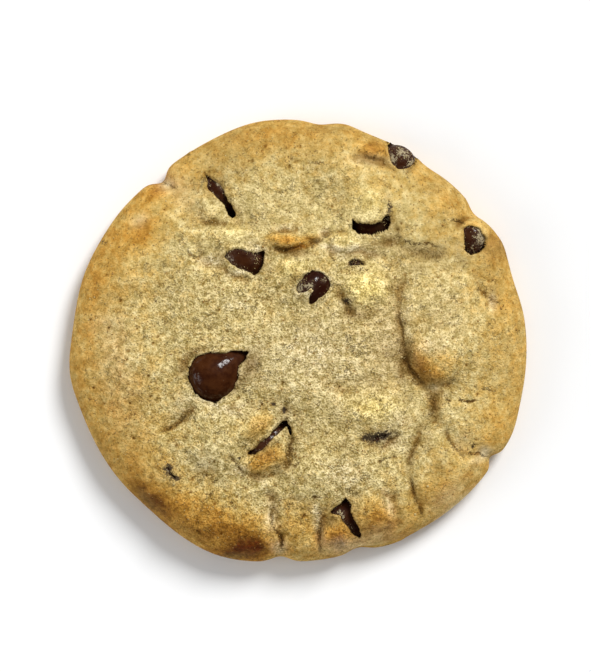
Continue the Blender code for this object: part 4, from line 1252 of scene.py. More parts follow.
@dataclass
class Dough:
    """Dough body: a square grid drawn round into a disc, side rows and a flat underside.

    A noise is given by its height, its cell and its count of ever finer layers. A calm is given by
    its strength, and by where it begins and is full.
    """

    form: DoughForm
    chips: tuple[Chip, ...]
    colours: DoughColours = field(default_factory=DoughColours)
    finish: DoughFinish = field(default_factory=DoughFinish)
    steps: int = 270
    side_rows: int = 12
    under_rows: int = 4
    skin: float = 0.22
    seat: float = 0.22
    overlap: float = 0.40
    snap: float = 0.17
    cracks: tuple[Crease, ...] = (
        Crease(0.30, 0.34, ((18.6, 5.6), (18.9, 3.8), (19.5, 1.8), (19.5, -0.6), (20.2, -3.6))),
        Crease(0.34, 0.60, ((19.8, -2.4), (21.0, -5.5), (22.5, -6.8), (23.4, -8.0))),
        Crease(0.16, 0.45, ((25.6, -8.1), (27.2, -8.1), (28.8, -7.6))),
        Crease(0.12, 0.80, ((24.2, -9.4), (25.1, -11.2), (25.6, -13.3))),
        Crease(0.17, 0.32, ((22.6, -17.2), (21.9, -19.4), (20.8, -21.4), (20.6, -23.2))),
        Crease(0.30, 0.34, ((20.9, -25.0), (21.3, -27.9), (22.2, -30.0), (23.6, -33.4))),
        Crease(0.36, 0.30, ((14.8, -22.6), (16.2, -21.6), (18.6, -21.3))),
        Crease(0.22, 0.28, ((27.5, -15.7), (27.7, -18.1), (28.8, -19.4), (30.4, -21.1), (31.2, -22.2))),
        Crease(0.36, 0.30, ((32.0, -20.0), (32.6, -18.8))),
        Crease(0.42, 0.30, ((29.6, -10.6), (30.4, -11.0), (31.9, -11.2), (33.2, -10.7))),
        Crease(0.30, 0.26, ((27.2, -10.9), (28.4, -11.0))),
        Crease(0.36, 0.28, ((33.9, -9.0), (34.7, -8.6), (35.9, -9.2), (37.1, -9.3))),
        Crease(0.25, 0.34, ((32.9, 10.1), (35.1, 8.2), (37.5, 6.8))),
        Crease(0.40, 0.40, ((18.0, 19.6), (19.6, 18.7), (21.4, 17.9), (24.3, 18.0), (26.4, 17.4))),
        Crease(0.30, 0.26, ((2.3, 32.9), (5.0, 32.9))),
        Crease(0.36, 0.34, ((-25.7, -17.0), (-24.3, -16.5), (-22.7, -15.8), (-21.4, -14.6),
                            (-18.5, -11.7))),
        Crease(0.40, 0.38, ((-3.3, -39.3), (-2.8, -36.8), (-3.7, -35.6), (-4.6, -34.0), (-5.0, -31.0))),
        Crease(0.28, 0.30, ((4.4, -39.8), (4.1, -37.8), (3.9, -35.3), (4.3, -33.2), (4.9, -32.2))),
        Crease(0.30, 0.26, ((2.1, -28.5), (4.0, -28.9), (6.0, -28.6))),
        Crease(0.30, 0.26, ((0.2, -33.0), (1.5, -32.1))),
        Crease(0.30, 0.26, ((-0.8, -23.3), (0.5, -22.1))),
        Crease(0.32, 0.40, ((-4.6, 16.9), (-2.0, 16.9), (0.4, 17.4), (1.4, 18.6))),
        Crease(0.34, 0.34, ((1.8, 18.4), (3.4, 18.2), (4.8, 18.8))),
        Crease(0.50, 0.34, ((9.3, 13.9), (10.0, 14.8), (11.2, 15.1), (12.6, 14.6))),
        Crease(0.40, 0.34, ((-18.0, 28.3), (-17.3, 30.0), (-16.0, 30.5))),
        Crease(0.30, 0.26, ((-16.7, 31.1), (-17.4, 29.6), (-18.0, 28.3))),
        Crease(0.50, 0.36, ((28.2, 22.5), (29.8, 22.2), (31.0, 21.6))),
        Crease(0.22, 0.28, ((11.7, 35.9), (13.0, 34.4), (13.9, 33.6), (14.9, 35.0), (15.8, 35.2),
                            (16.6, 34.2))),
        Crease(0.25, 0.40, ((-25.3, 29.8), (-23.8, 28.9), (-22.2, 28.2))),
        Crease(0.40, 0.34, ((35.6, -21.7), (33.4, -20.8), (31.0, -20.7))),
        Crease(0.32, 0.34, ((-1.1, -17.2), (-1.1, -18.4), (-1.5, -20.6), (-2.4, -22.4))),
        Crease(0.30, 0.30, ((-19.3, -32.2), (-18.4, -33.6), (-19.0, -35.0), (-17.6, -35.8))),
        Crease(0.28, 0.40, ((7.9, 9.0), (8.6, 7.6), (10.2, 6.2))),
        Crease(0.30, 0.28, ((-21.6, 19.8), (-20.9, 17.6), (-19.6, 15.8), (-17.8, 14.9))),
        Crease(0.30, 0.28, ((-12.6, -20.4), (-11.6, -22.4), (-9.8, -24.6))),
        Crease(0.28, 0.28, ((19.2, -17.2), (17.4, -17.9), (15.2, -19.9))),
    )
    pores: Points = (
        (-24.6, 24.3), (-32.7, 7.5), (-38.4, 4.0), (-29.7, 2.3), (-25.9, 0.8), (-26.7, -0.4), (-31.3, -1.8),
        (-31.6, -3.4), (-27.5, -6.4), (-37.7, -8.6), (-27.1, -10.1), (-30.3, -17.9), (-15.4, -22.2),
        (-14.1, -35.5), (-13.0, 1.9), (-1.5, 32.4), (-8.4, 33.3), (9.7, 7.7), (-24.0, -25.5), (-4.3, -11.6),
        (-2.2, -12.7), (18.5, 20.7),
    )
    drawn_pores: int = 170
    drawn_reach: float = 38.0
    pore_depth: float = 0.42
    pore_radius: float = 0.26
    named_pore_depth: float = 1.3
    mounds: Noise = (0.42, 4.2, 3)
    folds: Noise = (0.38, 2.6, 3)
    fold_level: float = 0.3
    sand: Noise = (0.11, 0.95, 2)
    crack_wander: Noise = (0.42, 1.2, 3)
    crack_swing: Noise = (1.5, 1.8, 2)
    crack_level: float = 0.75
    edge_wander: Noise = (0.26, 1.1, 2)
    side_ripple: Noise = (0.16, 2.6, 3)
    lip_out: tuple[float, float] = (0.05, 0.4)
    lip_groove_at: tuple[float, float] = (0.12, 0.1)
    lip_inset: float = 0.35
    side_crag: float = 0.4
    under_crag: float = 0.7
    rim_calm: tuple[float, float, float] = (0.40, 0.66, 1.0)
    side_calm: tuple[float, float, float] = (0.28, 12.0, 28.0)
    calm_offset: float = 3.0
    upper_calm: tuple[float, float, float] = (0.36, 8.0, 22.0)
    crag_range: tuple[float, float, float] = (1.05, 0.3, 1.1)
    cover_fall: tuple[float, float] = (0.8, 0.9)
    cover_end: float = 2.5
    drape: tuple[float, float] = (-0.1, 0.3)
    lip_bell: tuple[float, float, float] = (0.22, 0.35, 0.4)
    lip_over: float = 1.6
    seat_drop: float = 0.35
    slit_depth: float = 0.9
    sinking: tuple[float, float] = (0.02, 0.14)
    edge_width: float = 0.5
    mean_reach: int = 3
    groove_drop: float = 0.5

    def disc_grid(self) -> tuple[np.ndarray, np.ndarray]:
        """Square rings of the grid drawn into circles: way out is the larger of two sides.

        Returns:
            Share of the way out along the section, and angle, of each grid point.
        """
        line = np.linspace(-1.0, 1.0, self.steps + 1)
        u, v = (part.ravel() for part in np.meshgrid(line, line, indexing="ij"))
        wide = np.abs(u) > np.abs(v)
        angle = np.where(wide, 45.0 * v / np.where(u == 0.0, 1.0, u),
                         90.0 - 45.0 * u / np.where(v == 0.0, 1.0, v))
        angle = np.where(wide & (u < 0.0), angle + 180.0, angle)
        angle = np.where(~wide & (v < 0.0), angle + 180.0, angle)
        return np.maximum(np.abs(u), np.abs(v)), angle

    def even_shares(self, fraction: np.ndarray) -> np.ndarray:
        """Shares of the way out that cut the section into even lengths of surface.

        Args:
            fraction: shares of the section's length.

        Returns:
            Shares of the way out.
        """
        share = np.sin(np.linspace(0.0, math.pi / 2.0, 721))
        step = np.hypot(np.diff(share) * self.form.mean_radius, np.diff(self.form.dome(share)))
        length = np.concatenate([[0.0], np.cumsum(step)])
        return np.interp(fraction, length / length[-1], share)

    def border(self) -> np.ndarray:
        """Outer edge of the grid.

        Returns:
            Corner numbers round it, anticlockwise from above.
        """
        last, row = self.steps, self.steps + 1
        right = last * row + np.arange(last)
        top = np.arange(last, 0, -1) * row + last
        left = np.arange(last, 0, -1)
        bottom = np.arange(last) * row
        return np.concatenate([right, top, left, bottom])

    def roughness(self, x: np.ndarray, y: np.ndarray) -> np.ndarray:
        """How craggy the crust is: full in the middle and below it, smoother at the top and the rim.

        Args:
            x: places across.
            y: places up.

        Returns:
            Shares of about 0.3 to 1.
        """
        share = self.form.share_out(x, y)
        calm = self.rim_calm[0] * eased(share, *self.rim_calm[1:])
        calm = calm + self.side_calm[0] * eased(np.abs(x + self.calm_offset), *self.side_calm[1:])
        most, *held = self.crag_range
        return np.clip(most - calm - self.upper_calm[0] * eased(y, *self.upper_calm[1:]), *held)

    def crumb(self, x: np.ndarray, y: np.ndarray, z: np.ndarray) -> np.ndarray:
        """Craggy height: soft mounds, folds that rise where their noise crosses zero, and sand.

        Args:
            x: places across.
            y: places up.
            z: broad height.

        Returns:
            Height to add.
        """
        points = np.stack([x, y, z], axis=1)
        mounds = self.mounds[0] * Lattice(21).fractal(points, *self.mounds[1:])
        folds = self.folds[0] * (self.fold_level - np.abs(Lattice(22).fractal(points, *self.folds[1:])))
        sand = self.sand[0] * Lattice(23).fractal(points, *self.sand[1:])
        return mounds + folds + sand

    def fine_grooves(self, x: np.ndarray, y: np.ndarray) -> np.ndarray:
        """Depth of cracks and pores, their lines made ragged by shifting each place a little.

        Args:
            x: places across.
            y: places up.

        Returns:
            Depths, zero or more.
        """
        flat = np.stack([x, y, np.zeros_like(x)], axis=1)
        wander_x = x + self.crack_wander[0] * Lattice(31).fractal(flat, *self.crack_wander[1:])
        wander_y = y + self.crack_wander[0] * Lattice(32).fractal(flat, *self.crack_wander[1:])
        depth = np.zeros_like(x)
        for crack in self.cracks:
            depth = np.maximum(depth, crack.groove(wander_x, wander_y))
        swing = self.crack_swing[0] * Lattice(33).fractal(flat, *self.crack_swing[1:])
        depth *= np.clip(self.crack_level + swing, 0.1, 1.5)
        draw = np.random.default_rng(41)
        radius = self.drawn_reach * np.sqrt(draw.uniform(0.0, 1.0, self.drawn_pores))
        turn = draw.uniform(0.0, 2.0 * math.pi, self.drawn_pores)
        size = draw.uniform(0.5, 1.0, self.drawn_pores)
        for px, py, share in zip(radius * np.cos(turn), radius * np.sin(turn), size):
            depth += share * self.pore(x, y, px, py)
        for px, py in self.pores:
            depth += self.named_pore_depth * self.pore(x, y, px, py)
        return depth

    def crack_runs(self, x: np.ndarray, y: np.ndarray) -> tuple[np.ndarray, np.ndarray]:
        """Signed distance to the nearest crack's run, which its finish draws as a fine line.

        Args:
            x: places across.
            y: places up.

        Returns:
            Distance, above zero to the left of the run, and the crack's strength there.
        """
        nearest = np.full_like(x, 1.0e6)
        signed, strength = np.full_like(x, 9.0), np.zeros_like(x)
        for crack in self.cracks:
            gap, along, side = crack.away(x, y)
            closer = gap < nearest
            ends = (1.0 - (2.0 * along - 1.0) ** 6) * eased(-gap, -0.9, -0.6)
            signed = np.where(closer, gap * side, signed)
            strength = np.where(closer, min(crack.depth * 2.2, 1.0) * ends, strength)
            nearest = np.minimum(nearest, gap)
        return signed, strength

    def pore(self, x: np.ndarray, y: np.ndarray, px: float, py: float) -> np.ndarray:
        """Small round pit: a bell about its middle."""
        square = ((x - px) ** 2 + (y - py) ** 2) / self.pore_radius**2
        return self.pore_depth * np.exp(-np.minimum(square, 30.0))

    def seat_chips(self, x: np.ndarray, y: np.ndarray, z: np.ndarray) -> tuple[np.ndarray, ...]:
        """Drapes the dough over each chip, and lowers it onto the chip inside the opening.

        The cover over a chip is widened a little, so that the chip's steep side stays under it, and
        falls away outside the chip by a steady slope and a growing one.

        Args:
            x: places across.
            y: places up.
            z: height of the dough.

        Returns:
            The new height, a share that is 1 at an opening's edge, and one that is 1 inside it.
        """
        z = z.copy()
        near_edge, stain = np.zeros_like(z), np.zeros_like(z)
        for number, chip in enumerate(self.chips):
            close = np.flatnonzero(np.hypot(x - chip.x, y - chip.y) < chip.length)
            cx, cy, cz = x[close], y[close], z[close]
            edge = self.ragged_edge(number, cx, cy)
            chip_top, inside = chip.upper(self.form, cx, cy)
            nearer = 1.0 - self.overlap / np.maximum(np.hypot(cx - chip.x, cy - chip.y), self.overlap)
            inner_top, inner = chip.upper(self.form, chip.x + nearer * (cx - chip.x),
                                          chip.y + nearer * (cy - chip.y))
            beyond = np.maximum(-inner, 0.0)
            steady, growing = self.cover_fall
            cover = np.maximum(chip_top, inner_top) + self.skin - steady * beyond - growing * beyond**2
            cover = np.where(inner > -self.cover_end, cover, -1.0)
            drape = eased(edge, *self.drape)
            draped = np.maximum(cz, cover * drape + (1.0 - drape) * cz)
            high, place, width = self.lip_bell
            lip = high * np.exp(-(((edge - place) / width) ** 2)) * (chip_top > cz - self.lip_over)
            seat = np.minimum(chip_top - self.seat, cz - self.seat_drop)
            seat = np.where(inside > -0.2, seat, cz - self.slit_depth)
            sunk = eased(-edge, *self.sinking)
            z[close] = (draped + lip) * (1.0 - sunk) + np.minimum(seat, cz) * sunk
            at_edge = np.exp(-((edge / self.edge_width) ** 2)) * (inside > -0.6)
            near_edge[close] = np.maximum(near_edge[close], at_edge)
            stain[close] = np.maximum(stain[close], sunk)
        return z, near_edge, stain

    def ragged_edge(self, number: int, x: np.ndarray, y: np.ndarray) -> np.ndarray:
        """Distance to a chip's opening with a wandering edge, negative inside it.

        Args:
            number: the chip's place in the run.
            x: places across.
            y: places up.

        Returns:
            Signed distances.
        """
        flat = np.stack([x, y, np.zeros_like(x)], axis=1)
        wander = self.edge_wander[0] * Lattice(51 + number).fractal(flat, *self.edge_wander[1:])
        return self.chips[number].edge(x, y) + wander

    def drawn_to_edges(self, x: np.ndarray, y: np.ndarray) -> tuple[np.ndarray, np.ndarray]:
        """Grid points near an opening's edge moved onto it along the slope of the distance.

        Args:
            x: places across.
            y: places up.

        Returns:
            The new places.
        """
        x, y = x.copy(), y.copy()
        for number, chip in enumerate(self.chips):
            close = np.flatnonzero(np.hypot(x - chip.x, y - chip.y) < chip.length)
            cx, cy = x[close], y[close]
            gap = self.ragged_edge(number, cx, cy)
            step = 0.02
            slope_x = (self.ragged_edge(number, cx + step, cy) - gap) / step
            slope_y = (self.ragged_edge(number, cx, cy + step) - gap) / step
            size = np.maximum(slope_x**2 + slope_y**2, 0.25)
            pull = np.where(np.abs(gap) < self.snap, gap / size, 0.0)
            x[close] = cx - pull * slope_x
            y[close] = cy - pull * slope_y
        return x, y

    def top_height(self, x: np.ndarray, y: np.ndarray) -> tuple[np.ndarray, ...]:
        """Finished top: broad form, crumb, cracks and pores, then the chips seated.

        Args:
            x: places across.
            y: places up.

        Returns:
            Height, groove depth, nearness to an opening's edge, and stain inside it.
        """
        share = self.form.share_out(x, y)
        broad = self.form.top(x, y)
        calm = eased(1.0 - share, -0.02, 0.06)
        groove = self.fine_grooves(x, y) * calm
        height = broad + self.crumb(x, y, broad) * self.roughness(x, y) * calm - groove
        height, near_edge, stain = self.seat_chips(x, y, height)
        return height, groove, near_edge, stain

    @staticmethod
    def blurred(values: np.ndarray, reach: int) -> np.ndarray:
        """Grid values averaged over a square of neighbours, twice over.

        Args:
            values: heights in rows and columns.
            reach: how many neighbours on each side.

        Returns:
            The averaged heights.
        """
        width = 2 * reach + 1
        for axis in (0, 1, 0, 1):
            count = values.shape[axis]
            padded = np.concatenate([np.repeat(values.take([0], axis), reach, axis), values,
                                     np.repeat(values.take([-1], axis), reach, axis)], axis)
            values = sum(padded.take(range(k, k + count), axis) for k in range(width)) / width
        return values

    def build(self) -> bpy.types.Object:
        """Builds the body and stores the numbers that its finish reads.

        Returns:
            The dough's object.
        """
        fraction, angle = self.disc_grid()
        form, colours = self.form, self.colours
        upper = form.rim_radius(angle) - form.lip_reach * form.lip_share(angle)
        radius = self.even_shares(fraction) * upper
        x, y = radius * np.cos(np.radians(angle)), radius * np.sin(np.radians(angle))
        x, y = self.drawn_to_edges(x, y)
        z, groove, near_edge, stain = self.top_height(x, y)
        grid = z.reshape(self.steps + 1, self.steps + 1)
        rise = (grid - self.blurred(grid, self.mean_reach)).ravel() - self.groove_drop * groove
        border = self.border()
        side = self.side_rings(angle[border])
        under = self.under_rings(side[-1])
        bake, around = self.baking(x, y), len(border)
        shares = [row / self.side_rows for row in range(1, self.side_rows + 1)]
        baked = [bake]
        baked += [bake[border] * (1.0 - share) + colours.side_baking * share for share in shares]
        baked += [self.under_colour(ring) for ring in under] + [np.array([colours.under_baking])]
        rough = [self.roughness(x, y), np.full(around * self.side_rows, self.side_crag),
                 np.full(around * self.under_rows + 1, self.under_crag)]
        points = np.concatenate([np.stack([x, y, z], axis=1), *side, *under, np.zeros((1, 3))])
        piece = new_object("dough_crumb", points - np.array([*form.middle(), 0.0]), self.faces(border))
        px, py = points[:, 0], points[:, 1]
        topmost = self.on_top(np.ones_like(x), len(points))
        set_attribute(piece, "bake", np.concatenate(baked))
        set_attribute(piece, "rough", np.concatenate(rough))
        rise = rise * eased(1.0 - form.share_out(x, y), 0.0, 0.05)
        set_attribute(piece, "rise", self.on_top(rise, len(points)))
        # Light spots store painted light and shade spots painted shade, with more shade along the openings'
        # edges.
        for name, spots in (("yellow", colours.yellow), ("smudge", colours.smudge),
                            ("blush", colours.blush), ("light", colours.light)):
            set_attribute(piece, name, np.clip(total_spread(spots, px, py), 0.0, 1.0) * topmost)
        shade = total_spread(colours.shade, px, py)
        shade[: len(x)] += colours.edge_shade * near_edge
        set_attribute(piece, "shade", np.clip(shade, 0.0, 1.0) * topmost)
        set_attribute(piece, "stain", self.on_top(stain, len(points)))
        signed, strength = self.crack_runs(px, py)
        set_attribute(piece, "crack_side", signed)
        set_attribute(piece, "crack", strength * topmost)
        piece.data.materials.append(self.finish.material())
        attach(piece, ROOT)
        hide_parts("cookie_dough")
        return piece

    @staticmethod
    def on_top(values: np.ndarray, count: int) -> np.ndarray:
        """Numbers of the grid's points, with zeros after them for the other points."""
        return np.concatenate([values, np.zeros(count - len(values))])

    def side_rings(self, angle: np.ndarray) -> list[np.ndarray]:
        """Rings down the side: a quarter turn in to the foot, with a groove above the lower lip.

        Args:
            angle: directions of the grid's outer points.

        Returns:
            Points of each ring, from the rim down to the foot.
        """
        form, rings = self.form, []
        cosine, sine = np.cos(np.radians(angle)), np.sin(np.radians(angle))
        lip, full = form.lip_share(angle), form.rim_radius(angle)
        middle, width = self.lip_groove_at
        for row in range(1, self.side_rows + 1):
            down = row / self.side_rows
            turn = math.radians(90.0 * row / self.side_rows)
            inset = form.foot_inset * (1.0 - math.cos(turn))
            out = eased(np.array([down]), *self.lip_out)[0]
            groove = form.lip_groove * math.exp(-(((down - middle) / width) ** 2))
            side = full - inset - lip * (form.lip_reach * (1.0 - out) + groove - self.lip_inset * inset)
            height = np.full_like(side, form.widest_height * (1.0 - math.sin(turn)))
            ring = np.stack([side * cosine, side * sine, height], axis=1)
            ripple = self.side_ripple[0] * Lattice(61).fractal(ring, *self.side_ripple[1:])
            ripple = ripple * math.sin(2.0 * turn) ** 0.5
            ring[:, 0] += ripple * cosine
            ring[:, 1] += ripple * sine
            rings.append(ring)
        return rings

    def under_rings(self, foot: np.ndarray) -> list[np.ndarray]:
        """Flat rings of the underside, each the foot drawn in towards the middle.

        Args:
            foot: points of the lowest ring of the side.

        Returns:
            Points of each ring, from the foot inwards.
        """
        rings = []
        for row in range(1, self.under_rows + 1):
            ring = foot * (1.0 - row / (self.under_rows + 1.0))
            ring[:, 2] = 0.0
            rings.append(ring)
        return rings

    def baking(self, x: np.ndarray, y: np.ndarray) -> np.ndarray:
        """How far the top is baked: named spots, and a ring that deepens out to the rim.

        Args:
            x: places across.
            y: places up.

        Returns:
            Shares from 0, straw, to 1, red brown.
        """
        colours = self.colours
        share = self.form.share_out(x, y)
        ring = colours.rim_baking[0] * eased(share, *colours.rim_baking[1:])
        ring = ring + colours.left_baking[0] * eased(-x, *colours.left_baking[1:])
        return np.clip(total_spread(colours.baked, x, y) + ring, 0.0, 1.0)

    def under_colour(self, ring: np.ndarray) -> np.ndarray:
        """Baking of the underside: an even brown with darker blotches."""
        height, *noise = self.colours.under_blotches
        return self.colours.under_baking + height * Lattice(71).fractal(ring, *noise)

    def faces(self, border: np.ndarray) -> list[list[int]]:
        """All faces: the grid, the side and underside bands, and a fan at the middle below.

        Args:
            border: corner numbers round the grid.

        Returns:
            Corner numbers of each face.
        """
        count = self.steps + 1
        first = (np.arange(self.steps)[:, None] * count + np.arange(self.steps)[None, :]).ravel()
        grid = np.stack([first, first + count, first + count + 1, first + 1], axis=1)
        bands = [grid]
        above, start, around = border, count * count, len(border)
        for row in range(self.side_rows + self.under_rows):
            below = start + row * around + np.arange(around)
            bands.append(ring_faces(above, below))
            above = below
        middle = start + (self.side_rows + self.under_rows) * around
        fan = np.stack([np.roll(above, -1), above, np.full(around, middle)], axis=1)
        return np.concatenate(bands).tolist() + fan.tolist()


@dataclass
class ChipSet:
    """The chocolate chips, each a smooth teardrop where its solid lies."""

    form: DoughForm
    chips: tuple[Chip, ...]
    finish: ChocolateFinish = field(default_factory=ChocolateFinish)
    rows: int = 56
    sides: int = 72
    dents: Noise = (0.035, 2.8, 2)
    fringe: tuple[float, float] = (-0.9, 0.1)

    def build(self) -> list[bpy.types.Object]:
        """Builds and dresses every chip.

        Returns:
            The chips' objects.
        """
        material = self.finish.material()
        made = []
        for number, chip in enumerate(self.chips):
            piece = self.chip_piece(chip, number)
            piece.data.materials.append(material)
            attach(piece, ROOT)
            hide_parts(chip.node)
            made.append(piece)
        return made

    def chip_piece(self, chip: Chip, number: int) -> bpy.types.Object:
        """One teardrop: its section turned about its axis, dented a little by noise.

        Args:
            chip: the chip's place and sizes.
            number: its place in the run, which varies the dents.

        Returns:
            The chip's object.
        """
        radius, along = chip.section(self.rows)
        turn = np.linspace(0.0, 2.0 * math.pi, self.sides, endpoint=False)
        ring_r, ring_a = radius[1:-1, None], along[1:-1, None]
        x = (ring_r * np.cos(turn)[None, :]).ravel()
        y = (ring_r * np.sin(turn)[None, :]).ravel()
        z = (ring_a + np.zeros(self.sides)[None, :]).ravel()
        local = np.stack([x, y, z], axis=1)
        local = np.concatenate([local, [[0.0, 0.0, along[0]], [0.0, 0.0, along[-1]]]])
        dent = 1.0 + self.dents[0] * Lattice(81 + number).fractal(local, *self.dents[1:])
        local[:, :2] *= dent[:, None]
        local[:, 2] -= chip.back_share * chip.length
        points = chip.turned(self.form, local)
        rings = np.arange((self.rows - 1) * self.sides).reshape(self.rows - 1, self.sides)
        bands = [ring_faces(rings[k + 1], rings[k]) for k in range(self.rows - 2)]
        back, tip = rings.size, rings.size + 1
        back_fan = np.stack([np.roll(rings[0], -1), rings[0], np.full(self.sides, back)], axis=1)
        tip_fan = np.stack([rings[-1], np.roll(rings[-1], -1), np.full(self.sides, tip)], axis=1)
        faces = np.concatenate(bands).tolist() + back_fan.tolist() + tip_fan.tolist()
        piece = new_object(f"fine_{chip.node}", points, faces)
        set_attribute(piece, "dust", self.dust(chip, points))
        set_attribute(piece, "dark", np.full(len(points), chip.dark))
        return piece

    def dust(self, chip: Chip, points: np.ndarray) -> np.ndarray:
        """Film of crumb on a chip: its named smears, and a fringe along the opening's edge.

        Args:
            chip: the chip.
            points: its points.

        Returns:
            Shares from 0, clean, to 1, covered.
        """
        x, y = points[:, 0], points[:, 1]
        fringe = chip.look.value * eased(chip.edge(x, y), *self.fringe)
        return np.clip(fringe + total_spread(chip.smears, x, y), 0.0, 1.0)


@dataclass
class Crumbs:
    """Loose grains strewn over the dough and dusted onto the chips."""

    dough: Dough
    finish: CrumbFinish = field(default_factory=CrumbFinish)
    strewn: int = 5000
    dusted: int = 900
    reach: float = 40.5
    rim_share: float = 0.97
    chip_gap: float = 0.25
    sunk_share: float = 0.1
    sizes: tuple[float, float] = (0.08, 0.18)
    largest: float = 0.14
    fine_sizes: tuple[float, float] = (0.04, 0.11)
    fringe: tuple[float, float] = (-0.8, 0.0)

    def build(self) -> list[bpy.types.Object]:
        """Builds the grains on the dough and those on the chips.

        Returns:
            The two pieces.
        """
        material = self.finish.material()
        made = [self.on_dough(), self.on_chips()]
        for piece in made:
            piece.data.materials.append(material)
            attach(piece, ROOT)
        return made

    def on_dough(self) -> bpy.types.Object:
        """Grains at drawn places on the top, more of them where the crust is craggy.

        Returns:
            The grains' object.
        """
        draw = np.random.default_rng(91)
        reach = self.reach * np.sqrt(draw.uniform(0.0, 1.0, 2 * self.strewn))
        turn = draw.uniform(0.0, 2.0 * math.pi, 2 * self.strewn)
        x, y = reach * np.cos(turn), reach * np.sin(turn)
        share = self.dough.form.share_out(x, y)
        wanted = draw.uniform(0.0, 1.1, len(x)) < self.dough.roughness(x, y)
        clear = np.ones(len(x), bool)
        for chip in self.dough.chips:
            clear &= chip.edge(x, y) > self.chip_gap
        chosen = np.flatnonzero(wanted & clear & (share < self.rim_share))[: self.strewn]
        x, y = x[chosen], y[chosen]
        z = self.dough.top_height(x, y)[0]
        size = draw.uniform(*self.sizes, len(x)) + self.largest * draw.uniform(0.0, 1.0, len(x)) ** 8
        tone = draw.uniform(0.0, 1.0, len(x)) - 0.9 * self.dough.baking(x, y)
        middle = self.dough.form.middle()
        points = np.stack([x - middle[0], y - middle[1], z - self.sunk_share * size], axis=1)
        return self.grains("strewn_crumbs", points, size, tone, draw)

    def on_chips(self) -> bpy.types.Object:
        """Finer grains on the chips, near the openings' edges and in the smears.

        Returns:
            The grains' object.
        """
        draw = np.random.default_rng(92)
        places, tones = [], []
        per_chip = self.dusted // len(self.dough.chips)
        for chip in self.dough.chips:
            x = chip.x + draw.uniform(-0.5, 0.5, 12 * per_chip) * chip.length
            y = chip.y + draw.uniform(-0.5, 0.5, 12 * per_chip) * chip.length
            height, inside = chip.upper(self.dough.form, x, y)
            edge = chip.edge(x, y)
            chance = chip.look.value * eased(edge, *self.fringe) + total_spread(chip.smears, x, y)
            keep = (edge < 0.0) & (inside > 0.2) & (draw.uniform(0.0, 1.2, len(x)) < chance)
            keep = np.flatnonzero(keep)[:per_chip]
            places.append(np.stack([x[keep], y[keep], height[keep]], axis=1))
            tones.append(draw.uniform(0.35, 0.95, len(keep)))
        points = np.concatenate(places)
        size = draw.uniform(*self.fine_sizes, len(points))
        return self.grains("chip_crumbs", points, size, np.concatenate(tones), draw)

    @staticmethod
    def grains(name: str, points: np.ndarray, size: np.ndarray, tone: np.ndarray,
               draw: np.random.Generator) -> bpy.types.Object:
        """Joined eight-sided grains: six corners on three turned axes of drawn lengths.

        Args:
            name: object's name.
            points: middle of each grain.
            size: half size of each grain.
            tone: how pale each grain is, 0 to 1.
            draw: source of the drawn turns and lengths.

        Returns:
            The grains' object.
        """
        count = len(points)
        axes = draw.normal(0.0, 1.0, (count, 3, 3))
        axes, _ = np.linalg.qr(axes)
        axes[np.linalg.det(axes) < 0.0, :, 2] *= -1.0
        lengths = size[:, None, None] * draw.uniform(0.6, 1.3, (count, 1, 3))
        axes = axes * lengths
        ends = [sign * axes[:, :, axis] for axis in range(3) for sign in (1.0, -1.0)]
        corners = np.stack(ends, axis=1) + points[:, None, :]
        pattern = np.array([(0, 2, 4), (2, 1, 4), (1, 3, 4), (3, 0, 4),
                            (2, 0, 5), (1, 2, 5), (3, 1, 5), (0, 3, 5)])
        faces = (pattern[None, :, :] + 6 * np.arange(count)[:, None, None]).reshape(-1, 3)
        piece = new_object(name, corners.reshape(-1, 3), faces.tolist())
        set_attribute(piece, "tone", np.repeat(np.clip(tone, 0.0, 1.0), 6))
        return piece


@dataclass(frozen=True)
class Lamp:
    """Far lamp: the direction that it shines from, its strength and its width in the sky."""

    name: str
    azimuth: float
    elevation: float
    strength: float
    softness: float

    def build(self) -> None:
        """Hangs the lamp so that it shines on the origin."""
        light = bpy.data.lights.new(self.name, "SUN")
        light.energy = self.strength
        light.angle = math.radians(self.softness)
        lamp = bpy.data.objects.new(self.name, light)
        towards = pointing(self.azimuth, self.elevation)
        facing = towards.to_track_quat("Z", "Y").to_matrix().to_4x4()
        lamp.matrix_world = Matrix.Translation(towards) @ facing
        bpy.context.scene.collection.objects.link(lamp)


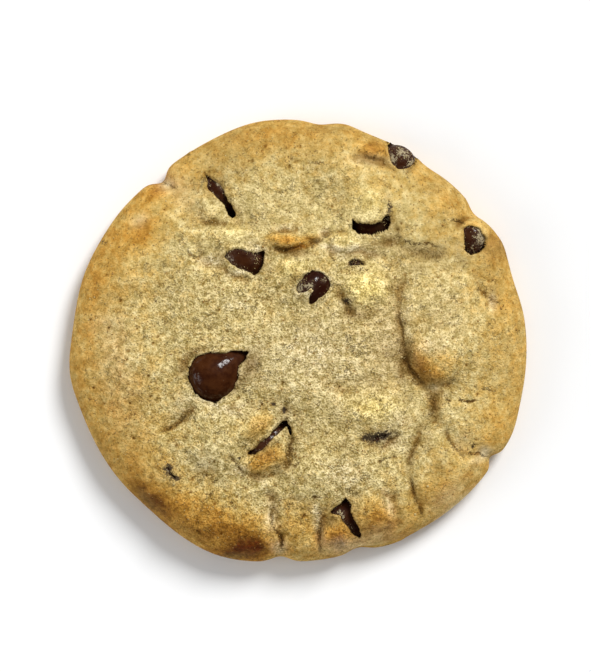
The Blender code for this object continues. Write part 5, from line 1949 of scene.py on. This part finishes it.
@dataclass(frozen=True)
class Studio:
    """Pale floor, a soft key light from the upper right and a camera straight above."""

    floor_half: float = 1500.0
    key: Lamp = Lamp("key_light", 55.0, 42.0, 3.0, 22.0)
    fill: Lamp = Lamp("fill_light", 192.0, 24.0, 0.86, 40.0)
    sky_strength: float = 0.385
    sky_tint: Colour = (0.965, 0.985, 1.0)
    camera_height: float = 1500.0
    frame_height: float = 124.72
    look_x: float = -0.46
    look_y: float = 0.84
    sensor: float = 36.0

    def build(self, form: DoughForm) -> None:
        """Makes the floor, the lights and the camera.

        Args:
            form: the dough, whose widest height sets the camera's scale.
        """
        corners = np.array([(-1.0, -1.0, 0.0), (1.0, -1.0, 0.0), (1.0, 1.0, 0.0), (-1.0, 1.0, 0.0)])
        floor = new_object("pale_floor", corners * self.floor_half, [[0, 1, 2, 3]])
        floor.data.materials.append(FloorFinish().material())
        self.key.build()
        self.fill.build()
        world = bpy.data.worlds.new("studio_sky")
        world.use_nodes = True
        sky = world.node_tree.nodes["Background"]
        sky.inputs["Color"].default_value = (*self.sky_tint, 1.0)
        sky.inputs["Strength"].default_value = self.sky_strength
        bpy.context.scene.world = world
        world.cycles_visibility.glossy = False
        lens = bpy.data.cameras.new("camera")
        lens.sensor_width = self.sensor
        lens.lens = self.sensor * (self.camera_height - form.widest_height) / self.frame_height
        camera = bpy.data.objects.new("camera", lens)
        camera.location = Vector((self.look_x, self.look_y, self.camera_height)) * MM
        bpy.context.scene.collection.objects.link(camera)
        bpy.context.scene.camera = camera
        bpy.context.scene.view_settings.view_transform = "Standard"


def main() -> None:
    """Builds the cookie, its chips, its crumbs and the studio, and reports each piece."""
    logging.basicConfig(level=logging.INFO, format="%(name)s: %(message)s")
    form = DoughForm()
    dough = Dough(form, CHIPS)
    pieces = [dough.build()]
    pieces += ChipSet(form, CHIPS).build()
    pieces += Crumbs(dough).build()
    Studio().build(form)
    for piece in pieces:
        LOG.info("%s: %d faces", piece.name, len(piece.data.polygons))


if __name__ == "__main__":
    main()
